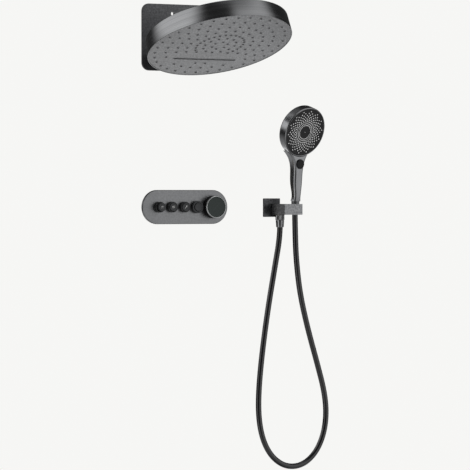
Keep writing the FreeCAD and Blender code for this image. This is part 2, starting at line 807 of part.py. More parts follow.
# ================================================================ wall outlet and holder
def make_holder():
    """Square wall plate, offset block with the cup, its liner, stubs and grub screw."""
    half = holder_plate_size / 2
    plate = block((holder_x - half, holder_x + half), (0, holder_plate_thickness),
                  (holder_z - half, holder_z + half))
    plate = plate.makeFillet(holder_plate_corner, edges_along(plate, OUT))
    plate = plate.makeChamfer(edge_break, edges_at_depth(plate, holder_plate_thickness))
    inlet_x = holder_x + inlet_offset
    outlet_x = holder_x + outlet_offset
    top = holder_z + block_top
    middle = top - block_height / 2
    inlet = rod(inlet_neck_radius + seat_gap, holder_plate_thickness, at(inlet_x, 0, middle), OUT)
    save("holder_wall_plate", plate.cut(inlet))
    save("holder_inlet_nipple", inlet_nipple(inlet_x, middle, holder_plate_thickness))

    left = holder_x + block_left
    right = holder_x + block_right
    levels = (top - block_height, top)
    stem = block((left, left + block_stem_width), (holder_plate_thickness, block_front_depth), levels)
    arm = block((left, right), (block_front_depth - block_arm_depth, block_front_depth), levels)
    body = joined([stem, arm])
    body = body.makeChamfer(block_edge, edges_along(body, UP))
    cup = placed(cup_cone(moving_gap + liner_wall + seat_gap), cup_placement())
    slot = placed(cup_slot(cup_slot_width), cup_placement())
    outlet_water = rod(outlet_bore_radius, block_height / 2, at(outlet_x, outlet_depth, middle), DOWN)
    wall_water = rod(outlet_bore_radius, outlet_depth - holder_plate_thickness,
                     at(inlet_x, holder_plate_thickness, middle), OUT)
    screw_hole = rod(grub_screw_radius + seat_gap, grub_screw_length,
                     at(left + block_stem_width / 2, grub_screw_depth, levels[0]), UP)
    body = body.cut(cup).cut(slot).cut(outlet_water).cut(wall_water).cut(screw_hole)
    save("holder_block", body)
    screw = rod(grub_screw_radius, grub_screw_length - seat_gap,
                at(left + block_stem_width / 2, grub_screw_depth, levels[0] + seat_gap), UP)
    save("holder_grub_screw", screw)
    liner = cup_cone(moving_gap + liner_wall).cut(cup_cone(moving_gap))
    band = Part.makeBox(60.0, 60.0, block_height - 2 * liner_inset,
                        Vector(-30.0, -30.0, -block_height + liner_inset))
    liner = liner.common(band).cut(cup_slot(cup_slot_width - 2.0))
    save("holder_liner", placed(liner, cup_placement()))
    stub = tube(outlet_stub_radius, outlet_bore_radius, outlet_stub_length,
                at(outlet_x, outlet_depth, levels[0]), DOWN)
    save("holder_outlet_nipple", stub)


def cup_cone(gap):
    """The hose nut's cone grown by a gap and drawn past both ends of the block."""
    spare = 10.0
    slope = (cone_top_radius - cone_bottom_radius) / cone_height
    top_radius = cone_top_radius + slope * (spare - cone_start()) + gap
    length = block_height + 2 * spare
    start = Vector(0, 0, -block_height - spare)
    return taper(top_radius - slope * length, top_radius, length, start, UP)


def cup_slot(width):
    """The way out of the cup for the hose, through the block's right end."""
    return Part.makeBox(60.0, width, block_height + 30.0,
                        Vector(0, -width / 2, -block_height - 15.0))


def make_wall_nut():
    """The tapered nut under the block, ribbed at its top, and its washer."""
    start = at(holder_x + outlet_offset, outlet_depth, holder_z + block_top - block_height - moving_gap)
    head = rod(wall_nut_top_radius, nut_head_height, start, DOWN)
    neck = taper(wall_nut_top_radius - 0.8, wall_nut_bottom_radius,
                 wall_nut_length - nut_head_height, start + DOWN * nut_head_height, DOWN)
    nut = joined([head, neck])
    stub_room = rod(outlet_stub_radius + seat_gap, outlet_stub_length, start, DOWN)
    washer_start = start + DOWN * outlet_stub_length
    washer_room = rod(outlet_stub_radius + seat_gap, washer_thickness, washer_start, DOWN)
    bore = rod(nut_bore_radius, wall_nut_length, start, DOWN)
    save("wall_hose_nut", nut.cut(stub_room).cut(washer_room).cut(bore))
    washer = tube(outlet_stub_radius - seat_gap, outlet_bore_radius, washer_thickness - seat_gap,
                  washer_start, DOWN)
    save("wall_hose_washer", washer)


# ================================================================ handset
def cone_start():
    """Height of the nut's collar underside above the block's top, along the leaning cone."""
    return moving_gap * 2


def make_handset_nut():
    """The conical nut that sits in the cup, and its washer."""
    placement = cup_placement()
    collar_start = Vector(0, 0, cone_start())
    collar = rod(cone_collar_radius, cone_collar_height, collar_start, UP)
    cone = taper(cone_top_radius, cone_bottom_radius, cone_height, collar_start, DOWN)
    nut = joined([collar, cone])
    bore = rod(nut_bore_radius, cone_height + cone_collar_height,
               collar_start + DOWN * cone_height, UP)
    save("handset_hose_nut", placed(nut.cut(bore), placement))
    washer = tube(nut_bore_radius - seat_gap, outlet_bore_radius - 1.0, washer_thickness,
                  Vector(0, 0, cone_start() + cone_collar_height - washer_thickness - seat_gap), UP)
    save("handset_hose_washer", placed(washer, placement))


def rounded_section(height, forward, width, thickness):
    """One section of the handle: a rectangle with round corners, at a height along the handle."""
    corner = min(handle_corner, thickness / 2 - 1.0)
    x = width / 2
    y = thickness / 2
    inner_x = x - corner
    inner_y = y - corner
    bulge = corner * math.sqrt(0.5)
    edges = []
    for sign_x, sign_y in ((1, 1), (-1, 1), (-1, -1), (1, -1)):
        side_point = Vector(sign_x * x, sign_y * inner_y, 0)
        middle = Vector(sign_x * (inner_x + bulge), sign_y * (inner_y + bulge), 0)
        flat_point = Vector(sign_x * inner_x, sign_y * y, 0)
        if sign_x * sign_y > 0:
            edges.append(Part.Arc(side_point, middle, flat_point).toShape())
            across = Vector(-sign_x * inner_x, sign_y * y, 0)
            edges.append(Part.LineSegment(flat_point, across).toShape())
        else:
            edges.append(Part.Arc(flat_point, middle, side_point).toShape())
            down = Vector(sign_x * x, -sign_y * inner_y, 0)
            edges.append(Part.LineSegment(side_point, down).toShape())
    wire = Part.Wire(edges)
    wire.translate(Vector(0, -forward, height))
    return wire


def hand_disc_placement():
    """Places shapes drawn about the handset's face centre, +Z out of the back of the disc."""
    centre = Vector(0, -hand_disc_forward, handle_bottom() + hand_disc_height)
    return Placement(centre, Rotation(RIGHT, hand_face_pitch - 90.0))


def handle_bottom():
    """Height of the handle's bottom end above the block's top, along the leaning cone."""
    return cone_start() + cone_collar_height + moving_gap


def disc_edge_height():
    """Height of the disc's lowest edge above the handle's bottom end."""
    return hand_disc_height - hand_disc_radius * math.cos(math.radians(hand_face_pitch))


def make_handle():
    """The handle as a loft that widens into the disc."""
    bottom = handle_bottom()
    edge = disc_edge_height()
    width = handle_neck_width
    thickness = handle_neck_thickness
    middle_width = (handle_base_width + width) / 2
    middle_thickness = (handle_base_thickness + thickness) / 2
    sections = [
        rounded_section(bottom, 0.0, handle_base_width, handle_base_thickness),
        rounded_section(bottom + handle_neck_height / 2, 0.0, middle_width, middle_thickness),
        rounded_section(bottom + handle_neck_height, 0.0, width, thickness),
        rounded_section(bottom + (handle_neck_height + edge) / 2, 0.0, width * 1.22, thickness),
        rounded_section(bottom + edge + 4.0, -1.5, width * 1.85, thickness),
        rounded_section(bottom + edge + 14.0, -3.5, width * 2.45, thickness - 1.0),
    ]
    return Part.makeLoft(sections, True, False)


def make_handset_shell():
    """The disc's bowl and the handle in one, hollow for the water and cut for the button."""
    disc = hand_disc_placement()
    bottom = handle_bottom()
    radius = hand_disc_radius
    back = hand_disc_thickness
    half_way = math.sqrt(0.5)
    drop = back - hand_disc_side
    shrink = radius - hand_back_radius
    shoulder = Vector(radius - shrink + shrink * half_way, 0, hand_disc_side + drop * half_way)
    profile = Part.Wire([
        Part.LineSegment(Vector(0, 0, hand_rim_height), Vector(radius, 0, hand_rim_height)).toShape(),
        Part.LineSegment(Vector(radius, 0, hand_rim_height), Vector(radius, 0, hand_disc_side)).toShape(),
        Part.Arc(Vector(radius, 0, hand_disc_side), shoulder, Vector(hand_back_radius, 0, back)).toShape(),
        Part.LineSegment(Vector(hand_back_radius, 0, back), Vector(0, 0, back)).toShape(),
        Part.LineSegment(Vector(0, 0, back), Vector(0, 0, hand_rim_height)).toShape(),
    ])
    bowl = placed(Part.Face(profile).revolve(Vector(0, 0, 0), UP, 360), disc)
    front_space = placed(rod(radius + moving_gap, 40.0, Vector(0, 0, hand_rim_height), DOWN), disc)
    shell = joined([bowl, make_handle().cut(front_space)])
    chamber = placed(rod(radius - 2 * hand_wall, back - hand_wall - hand_rim_height,
                         Vector(0, 0, hand_rim_height), UP), disc)
    channel = rod(waterway_radius + seat_gap, hand_disc_height * 0.8, Vector(0, 0, bottom), UP)
    socket_depth = mode_button_inset + mode_button_travel + moving_gap
    socket = rod(mode_button_radius + moving_gap, socket_depth + 20.0,
                 Vector(0, socket_depth - handle_neck_thickness / 2, bottom + mode_button_height), OUT)
    return shell.cut(chamber).cut(channel).cut(socket)


def make_handset():
    """Shell with its handle, rim, face, nozzles, mode button and inner waterway."""
    placement = handset_placement()
    disc = placement.multiply(hand_disc_placement())
    bottom = handle_bottom()
    save("handset_shell", placed(make_handset_shell(), placement))
    cap_start = Vector(0, mode_button_inset - handle_neck_thickness / 2, bottom + mode_button_height)
    button = rod(mode_button_radius, mode_button_inset + mode_button_stand, cap_start, OUT)
    save("mode_button", placed(button, placement))
    pipe = tube(waterway_radius, waterway_radius - waterway_wall, hand_disc_height * 0.6,
                Vector(0, 0, bottom + 1.0), UP)
    save("handset_waterway", placed(pipe, placement))

    rim = tube(hand_disc_radius, hand_disc_radius - hand_rim_width, hand_rim_height, Vector(), UP)
    save("handset_rim", placed(rim, disc))
    face_radius = hand_disc_radius - hand_rim_width - seat_gap
    face = rod(face_radius, hand_face_thickness, Vector(0, 0, hand_face_recess), UP)
    holes = []
    tips = []
    for x, y in hand_nozzle_pattern():
        holes.append(rod(hand_nozzle_diameter / 2 + seat_gap, hand_face_thickness,
                         Vector(x, y, hand_face_recess), UP))
        tips.append(rod(hand_nozzle_diameter / 2, hand_face_thickness + hand_nozzle_stand + fusion_bite,
                        Vector(x, y, hand_face_recess - hand_nozzle_stand), UP))
    save("handset_face", placed(face.cut(Part.makeCompound(holes)), disc))
    mat_bottom = hand_face_recess + hand_face_thickness + seat_gap
    mat = rod(face_radius - 1.0, hand_rim_height - mat_bottom - seat_gap,
              Vector(0, 0, mat_bottom), UP)
    save("handset_nozzles", placed(joined([mat] + tips), disc))



def hand_nozzle_pattern():
    """Nozzle places on the handset's face: each ring is turned half a step from the last."""
    places = []
    for index, (radius, count) in enumerate(hand_nozzle_rings):
        places.extend(circle_points(count, radius, 90.0 + index * hand_nozzle_swirl))
    return places


# ================================================================ hose
def hose_points():
    """The hose's route from the wall nut to the handset's nut, as points."""
    start = at(holder_x + outlet_offset, outlet_depth,
               holder_z + block_top - block_height - moving_gap - wall_nut_length)
    tip = cup_placement().multVec(Vector(0, 0, cone_start() - cone_height))
    points = [start]
    for x, depth, z in hose_route:
        points.append(at(x, depth, z))
    points.append(tip)
    return points


def rounded_path(points):
    """Straight runs joined by tangent arcs, each as large as its two runs allow."""
    edges = []
    here = points[0]
    for before, corner, after in zip(points, points[1:], points[2:]):
        run_in = (corner - before).Length
        run_out = (after - corner).Length
        way_in = (corner - before) / run_in
        way_out = (after - corner) / run_out
        turn = way_in.getAngle(way_out)
        setback = 0.45 * min(run_in, run_out)
        radius = setback / math.tan(turn / 2)
        print("hose arc radius {:.0f}, turn {:.1f} degrees".format(radius, math.degrees(turn)))
        arc_start = corner - way_in * setback
        arc_end = corner + way_out * setback
        bisector = (way_out - way_in).normalize()
        middle = corner + bisector * (radius / math.cos(turn / 2) - radius)
        edges.append(Part.LineSegment(here, arc_start).toShape())
        edges.append(Part.Arc(arc_start, middle, arc_end).toShape())
        here = arc_end
    edges.append(Part.LineSegment(here, points[-1]).toShape())
    return Part.Wire(edges)


def make_hose():
    """The hose as a round tube along its route."""
    points = hose_points()
    path = rounded_path(points)
    ring = Part.Wire(Part.Circle(points[0], points[1] - points[0], hose_radius).toShape())
    hose = path.makePipeShell([ring], True, False)
    expected = math.pi * hose_radius ** 2 * path.Length
    print("hose length {:.1f}, volume over section x length {:.5f}".format(
        path.Length, hose.Volume / expected))
    save("shower_hose", hose)


# ================================================================ all of it
def main():
    """Build every node."""
    os.makedirs("parts", exist_ok=True)
    make_panel()
    for number in range(1, button_count + 1):
        make_flow_ring(number)
        make_push_cap(number)
        make_push_spring(number)
    make_cartridges()
    make_valve()
    make_valve_bracket()
    make_temperature_knob()
    make_head_plate()
    make_head_arm()
    make_head_bracket()
    make_head_drum()
    make_holder()
    make_wall_nut()
    make_handset_nut()
    make_handset()
    make_hose()


main()
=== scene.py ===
"""Looks for a concealed rain shower set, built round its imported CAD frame.

Everything is in metres in the row frame: +X right along the wall, -Y out of the wall, +Z up.
Sizes inside the classes are in millimetres, as on a drawing, and MM turns them into metres.
"""

import json
import logging
import math
from collections.abc import Callable, Sequence
from dataclasses import dataclass, field
from enum import Enum

import bpy
from mathutils import Matrix, Vector


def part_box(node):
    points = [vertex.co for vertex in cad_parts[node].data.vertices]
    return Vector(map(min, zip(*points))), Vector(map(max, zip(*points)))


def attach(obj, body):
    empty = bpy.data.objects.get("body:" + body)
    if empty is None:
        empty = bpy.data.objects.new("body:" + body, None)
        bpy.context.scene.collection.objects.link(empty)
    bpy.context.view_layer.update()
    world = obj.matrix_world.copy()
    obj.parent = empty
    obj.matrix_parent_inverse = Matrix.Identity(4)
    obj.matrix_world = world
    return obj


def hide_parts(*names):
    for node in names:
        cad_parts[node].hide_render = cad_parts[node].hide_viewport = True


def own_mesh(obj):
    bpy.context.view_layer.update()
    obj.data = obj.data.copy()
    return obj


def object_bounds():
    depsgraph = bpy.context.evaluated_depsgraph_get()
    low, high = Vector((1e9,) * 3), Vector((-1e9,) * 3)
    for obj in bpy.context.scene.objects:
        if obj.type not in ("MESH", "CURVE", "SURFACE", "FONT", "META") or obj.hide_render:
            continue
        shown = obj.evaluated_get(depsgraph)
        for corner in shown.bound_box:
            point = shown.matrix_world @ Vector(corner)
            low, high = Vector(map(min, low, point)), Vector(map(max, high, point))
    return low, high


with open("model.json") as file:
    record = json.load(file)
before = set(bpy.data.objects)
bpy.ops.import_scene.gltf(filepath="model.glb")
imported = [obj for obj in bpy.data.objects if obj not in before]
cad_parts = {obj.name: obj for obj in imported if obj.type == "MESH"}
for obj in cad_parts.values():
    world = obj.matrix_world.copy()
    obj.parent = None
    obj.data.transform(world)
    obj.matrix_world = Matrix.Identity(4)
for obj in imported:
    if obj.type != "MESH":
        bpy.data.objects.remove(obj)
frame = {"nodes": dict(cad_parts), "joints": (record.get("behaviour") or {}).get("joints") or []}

bpy.context.view_layer.update()
cad_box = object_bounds()

logging.basicConfig(level=logging.INFO, format="%(message)s")
log = logging.getLogger("shower")

MM = 0.001
NOZZLE_START = -90.0
CORNER_SHARE = 0.45
GROOVE_SHAPE = 0.7
LINE_ALONG, LINE_ACROSS = 7.0, 800.0
# How much lighter the sharp outer edges are tinted than the surface.
EDGE_TINT_LIGHTER = 2.2
Point = tuple[float, float]
Colour = tuple[float, float, float]
Wave = Callable[[float, float, float], float]
NodeTree = bpy.types.NodeTree
Socket = bpy.types.NodeSocket


# ------------------------------------------------------------------ places
def joint_place(name: str) -> Vector:
    """Gives the point that a joint turns about.

    Args:
        name: The joint's name in the record.

    Returns:
        The joint's place in metres.
    """
    for joint in frame["joints"]:
        if joint["name"] == name:
            return Vector(joint["pos_m"])
    raise ValueError(f"no joint named {name}")


def middle_of(node: str) -> Vector:
    """The middle of a CAD node's box."""
    low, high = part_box(node)
    return (low + high) / 2


def out_of_wall(place: Vector) -> Matrix:
    """A frame at a place whose +Z points out of the wall and +Y up."""
    turn = Matrix(((1, 0, 0), (0, 0, -1), (0, 1, 0))).to_4x4()
    return Matrix.Translation(place) @ turn


def tilted(place: Vector, *turns: tuple[float, str]) -> Matrix:
    """A frame at a place, turned in degrees about one axis after another.

    Args:
        place: The frame's origin.
        turns: Pairs of an angle in degrees and an axis letter.

    Returns:
        The frame as a matrix.
    """
    matrix = Matrix.Translation(place)
    for angle, axis in turns:
        matrix = matrix @ Matrix.Rotation(math.radians(angle), 4, axis)
    return matrix


# ------------------------------------------------------------------ mesh shapes
@dataclass
class Shape:
    """A mesh being put together, in millimetres in its own frame."""

    points: list[Vector] = field(default_factory=list)
    faces: list[tuple[int, ...]] = field(default_factory=list)

    def add(self, other: "Shape", matrix: Matrix | None = None) -> "Shape":
        """Takes in another shape.

        Args:
            other: The shape to take in.
            matrix: Where to put it, in this shape's frame.

        Returns:
            This shape.
        """
        start = len(self.points)
        place = matrix or Matrix.Identity(4)
        self.points.extend(place @ point for point in other.points)
        self.faces.extend(tuple(index + start for index in face) for face in other.faces)
        return self

    def ring(self, loop: Sequence[Vector]) -> range:
        """Adds a loop of points and gives their indices.

        Args:
            loop: The points, in order.

        Returns:
            Their indices.
        """
        start = len(self.points)
        self.points.extend(loop)
        return range(start, len(self.points))

    def skin(self, first: range, second: range) -> None:
        """Joins two loops of the same length with a band of quads.

        Args:
            first: One loop's indices.
            second: The other loop's indices.
        """
        count = len(first)
        for index in range(count):
            following = (index + 1) % count
            self.faces.append((first[index], first[following], second[following], second[index]))

    def cap(self, loop: range, reverse: bool = False) -> None:
        """Closes a loop with one face."""
        self.faces.append(tuple(reversed(loop)) if reverse else tuple(loop))


    def wrap(self, loops: Sequence[range], closed: bool = False) -> None:
        """Joins loops one after another, and closes the result.

        Args:
            loops: The loops, in order.
            closed: Whether the last joins the first, so that no end is capped.
        """
        for lower, upper in zip(loops, loops[1:]):
            self.skin(lower, upper)
        if closed:
            self.skin(loops[-1], loops[0])
        else:
            self.cap(loops[0], reverse=True)
            self.cap(loops[-1])


def scattered(piece: Shape, places: Sequence[Point]) -> Shape:
    """Copies of one shape at several places.

    Args:
        piece: The shape.
        places: Where the copies stand.

    Returns:
        The copies as one shape.
    """
    shape = Shape()
    for x, y in places:
        shape.add(piece, Matrix.Translation((x, y, 0)))
    return shape


def softened(profile: Sequence[Point], radius: float, steps: int = 4, closed: bool = False) -> list[Point]:
    """Rounds the corners of a profile.

    Args:
        profile: Corner points.
        radius: Largest corner radius.
        steps: Points along each rounded corner.
        closed: Whether the profile's last point joins its first.

    Returns:
        The rounded profile.
    """
    count = len(profile)
    rounded: list[Point] = []
    for index, corner in enumerate(profile):
        if not closed and index in (0, count - 1):
            rounded.append(corner)
            continue
        here = Vector(corner)
        before = Vector(profile[index - 1]) - here
        after = Vector(profile[(index + 1) % count]) - here
        cut = min(radius, CORNER_SHARE * before.length, CORNER_SHARE * after.length)
        start = here + before.normalized() * cut
        end = here + after.normalized() * cut
        for step in range(steps + 1):
            share = step / steps
            point = start.lerp(here, share).lerp(here.lerp(end, share), share)
            rounded.append((point.x, point.y))
    return rounded


def lathe(
    profile: Sequence[Point],
    segments: int,
    closed: bool = False,
    wave: Wave | None = None,
) -> Shape:
    """Turns a profile about +Z.

    Args:
        profile: Pairs of a radius and a height.
        segments: Steps round the axis.
        closed: Whether the profile is a loop, as for a ring.
        wave: Gives the radius of a point from its radius, height and angle.

    Returns:
        The turned shape.
    """
    shape = Shape()
    loops: list[range] = []
    for radius, height in profile:
        loop = []
        for index in range(segments):
            angle = math.tau * index / segments
            reach = wave(radius, height, angle) if wave else radius
            loop.append(Vector((reach * math.cos(angle), reach * math.sin(angle), height)))
        loops.append(shape.ring(loop))
    shape.wrap(loops, closed)
    return shape


def loft(sections: Sequence[Sequence[Vector]]) -> Shape:
    """A closed body through loops of the same length.

    Args:
        sections: The loops, from one end to the other.

    Returns:
        The body.
    """
    shape = Shape()
    shape.wrap([shape.ring(section) for section in sections])
    return shape


def raised_outline(outline: Sequence[Point], start: float, height: float, bevel: float) -> Shape:
    """A flat raised mark with a soft top edge.

    Args:
        outline: The mark's corners, anticlockwise.
        start: Height that it stands on.
        height: How far it stands up.
        bevel: How far its top is drawn in.

    Returns:
        The mark.
    """
    centre = sum((Vector(point) for point in outline), Vector((0.0, 0.0))) / len(outline)
    sections = []
    for level, inset in ((start, 0.0), (start + height * 0.6, 0.0), (start + height, bevel)):
        loop = []
        for point in outline:
            away = Vector(point) - centre
            place = centre + away * max(0.2, 1 - inset / max(away.length, bevel))
            loop.append(Vector((place.x, place.y, level)))
        sections.append(loop)
    return loft(sections)


def on_circle(count: int, radius: float, first: float = 0.0) -> list[Point]:
    """Points evenly spaced on a circle, from a first angle in degrees."""
    angles = [math.radians(first + 360.0 * index / count) for index in range(count)]
    return [(radius * math.cos(angle), radius * math.sin(angle)) for angle in angles]


def knurl(outer: float, low: float, high: float, count: int, depth: float) -> Wave:
    """Cuts fine upright grooves into the outside of a turned piece.

    Args:
        outer: Radius of the outside.
        low: Height where the grooves start.
        high: Height where they end.
        count: Number of grooves.
        depth: Depth of a groove.

    Returns:
        A wave for lathe().
    """

    def wave(radius: float, height: float, angle: float) -> float:
        """Radius of one point of the grooved side.

        Args:
            radius: Its radius before the grooves.
            height: Its height.
            angle: Its angle about the axis.

        Returns:
            Its radius.
        """
        if radius < outer - 0.4 or not low <= height <= high:
            return radius
        return radius - depth * (0.5 - 0.5 * math.cos(count * angle)) ** GROOVE_SHAPE

    return wave


# ------------------------------------------------------------------ shader groups
class Run(Enum):
    """Which way the fine lines of a brushed finish run, in a piece's own frame."""

    LINEAR_X = "along x"
    LINEAR_Z = "along z"
    AROUND_Z = "around z"


def new_group(name: str, inputs: dict[str, tuple[str, float | tuple]], outputs: dict[str, str]) -> NodeTree:
    """Starts a shader group with named sockets.

    Args:
        name: The group's name.
        inputs: For each input, its socket type and its default value.
        outputs: For each output, its socket type.

    Returns:
        The group's tree, with its input and output nodes in place.
    """
    tree = bpy.data.node_groups.new(name, "ShaderNodeTree")
    for label, (kind, value) in inputs.items():
        socket = tree.interface.new_socket(name=label, in_out="INPUT", socket_type=kind)
        if kind != "NodeSocketVector":
            socket.default_value = value
    for label, kind in outputs.items():
        tree.interface.new_socket(name=label, in_out="OUTPUT", socket_type=kind)
    tree.nodes.new("NodeGroupInput").name = "in"
    tree.nodes.new("NodeGroupOutput").name = "out"
    return tree


def put(tree: NodeTree, kind: str, links: dict[str | int, object], **settings: object) -> bpy.types.Node:
    """Adds a node and feeds it.

    Args:
        tree: The tree that takes the node.
        kind: The node's type.
        links: For each input, a socket to link or a value to set.
        settings: Attributes of the node.

    Returns:
        The new node.
    """
    node = tree.nodes.new(kind)
    for label, value in settings.items():
        setattr(node, label, value)
    for label, value in links.items():
        if isinstance(value, bpy.types.NodeSocket):
            tree.links.new(value, node.inputs[label])
        else:
            node.inputs[label].default_value = value
    return node


def maths(tree: NodeTree, operation: str, *values: object) -> Socket:
    """The output of one Math node."""
    links = dict(enumerate(values))
    return put(tree, "ShaderNodeMath", links, operation=operation).outputs[0]


def ramp(
    tree: NodeTree, value: Socket, low: float, high: float, start: float = 0.0, end: float = 1.0
) -> Socket:
    """Spreads a value's range over another range.

    Args:
        tree: The tree that takes the node.
        value: The value to spread.
        low: The value that gives start.
        high: The value that gives end.
        start: The result at low.
        end: The result at high.

    Returns:
        The result.
    """
    limits = {"Value": value, "From Min": low, "From Max": high, "To Min": start, "To Max": end}
    return put(tree, "ShaderNodeMapRange", limits).outputs[0]


def noise(tree: NodeTree, place: Socket, scale: object, detail: float, roughness: float = 0.5) -> Socket:
    """Grey noise.

    Args:
        tree: The tree that takes the node.
        place: Where it is read.
        scale: How fine it is.
        detail: How many finer layers it has.
        roughness: How strong those layers are.

    Returns:
        The noise's value.
    """
    links = {"Vector": place, "Scale": scale, "Detail": detail, "Roughness": roughness}
    return put(tree, "ShaderNodeTexNoise", links).outputs[0]


class ShaderGroups:
    """Builds the shared shader groups, each once."""

    def __init__(self) -> None:
        """Makes every group."""
        self.around_axis = self._around_axis()
        self.brushed = self._brushed()
        self.mottle = self._mottle()
        self.sharp_edge_tint = self._sharp_edge_tint()

    def _around_axis(self) -> NodeTree:
        """A place as angle, radius and height about +Z.

        Returns:
            The group's tree.
        """
        tree = new_group(
            "AroundAxis", {"Place": ("NodeSocketVector", 0.0)}, {"Wrapped": "NodeSocketVector"}
        )
        parts = put(tree, "ShaderNodeSeparateXYZ", {0: tree.nodes["in"].outputs["Place"]}).outputs
        angle = maths(tree, "ARCTAN2", parts[1], parts[0])
        radius = maths(tree, "SQRT", maths(tree, "ADD", maths(tree, "MULTIPLY", parts[0], parts[0]),
                                           maths(tree, "MULTIPLY", parts[1], parts[1])))
        arc = maths(tree, "MULTIPLY", maths(tree, "ABSOLUTE", angle), 0.1)
        wrapped = put(tree, "ShaderNodeCombineXYZ", {0: arc, 1: radius, 2: parts[2]})
        tree.links.new(wrapped.outputs[0], tree.nodes["out"].inputs["Wrapped"])
        return tree

    def _brushed(self) -> NodeTree:
        """Fine parallel lines: a shade between 0 and 1 and a height.

        Returns:
            The group's tree.
        """
        tree = new_group(
            "BrushedLines",
            {
                "Place": ("NodeSocketVector", 0.0),
                "Stretch": ("NodeSocketVector", 0.0),
                "Fineness": ("NodeSocketFloat", 1.0),
            },
            {"Shade": "NodeSocketFloat", "Height": "NodeSocketFloat"},
        )
        start = tree.nodes["in"].outputs
        scaled = put(tree, "ShaderNodeVectorMath", {0: start["Place"], 1: start["Stretch"]},
                     operation="MULTIPLY").outputs[0]
        fine = put(tree, "ShaderNodeVectorMath", {0: scaled, "Scale": start["Fineness"]},
                   operation="SCALE").outputs[0]
        lines = noise(tree, fine, 1.0, 3.0, 0.65)
        bands = noise(tree, scaled, 0.22, 1.0)
        mixed = maths(tree, "ADD", maths(tree, "MULTIPLY", lines, 0.75),
                      maths(tree, "MULTIPLY", bands, 0.25))
        spread = ramp(tree, mixed, 0.32, 0.68)
        tree.links.new(spread, tree.nodes["out"].inputs["Shade"])
        tree.links.new(lines, tree.nodes["out"].inputs["Height"])
        return tree

    def _mottle(self) -> NodeTree:
        """Soft cloudy unevenness with a fine grain over it.

        Returns:
            The group's tree.
        """
        tree = new_group(
            "Mottle",
            {
                "Place": ("NodeSocketVector", 0.0),
                "Cloud Size": ("NodeSocketFloat", 30.0),
                "Grain Size": ("NodeSocketFloat", 1500.0),
            },
            {"Cloud": "NodeSocketFloat", "Grain": "NodeSocketFloat"},
        )
        start = tree.nodes["in"].outputs
        cloud = noise(tree, start["Place"], start["Cloud Size"], 2.0)
        grain = noise(tree, start["Place"], start["Grain Size"], 2.0)
        tree.links.new(cloud, tree.nodes["out"].inputs["Cloud"])
        tree.links.new(grain, tree.nodes["out"].inputs["Grain"])
        return tree

    def _sharp_edge_tint(self) -> NodeTree:
        """A mask of the sharp outer edges, broken up by noise.

        Returns:
            The group's tree.
        """
        tree = new_group(
            "SharpEdgeTint",
            {"Place": ("NodeSocketVector", 0.0), "Amount": ("NodeSocketFloat", 1.0)},
            {"Mask": "NodeSocketFloat"},
        )
        start = tree.nodes["in"].outputs
        sharp = put(tree, "ShaderNodeNewGeometry", {}).outputs["Pointiness"]
        edge = ramp(tree, sharp, 0.53, 0.62)
        broken = noise(tree, start["Place"], 260.0, 3.0)
        patchy = ramp(tree, broken, 0.35, 0.7)
        mask = maths(tree, "MULTIPLY", maths(tree, "MULTIPLY", edge, patchy), start["Amount"])
        tree.links.new(mask, tree.nodes["out"].inputs["Mask"])
        return tree


GROUPS = ShaderGroups()


def use_group(tree: NodeTree, group: NodeTree, links: dict[str, object]) -> bpy.types.Node:
    """Places a shader group in a material."""
    return put(tree, "ShaderNodeGroup", links, node_tree=group)


# ------------------------------------------------------------------ finishes
def blank_material(name: str) -> tuple[bpy.types.Material, NodeTree, bpy.types.Node]:
    """A material that holds only its shader.

    Args:
        name: The material's name.

    Returns:
        The material, its tree and its Principled shader.
    """
    material = bpy.data.materials.new(name)
    material.use_nodes = True
    tree = material.node_tree
    tree.nodes.clear()
    shader = tree.nodes.new("ShaderNodeBsdfPrincipled")
    end = tree.nodes.new("ShaderNodeOutputMaterial")
    tree.links.new(shader.outputs[0], end.inputs[0])
    return material, tree, shader


def colour_mix(tree: NodeTree, factor: Socket, first: object, second: object) -> Socket:
    """Mixes two colours by a factor.

    Args:
        tree: The tree that takes the node.
        factor: How much of the second colour.
        first: A colour or a socket.
        second: A colour or a socket.

    Returns:
        The mixed colour.
    """
    node = put(tree, "ShaderNodeMix", {"Factor": factor}, data_type="RGBA")
    for index, value in ((6, first), (7, second)):
        if isinstance(value, bpy.types.NodeSocket):
            tree.links.new(value, node.inputs[index])
        else:
            node.inputs[index].default_value = (*value, 1.0)
    return node.outputs[2]


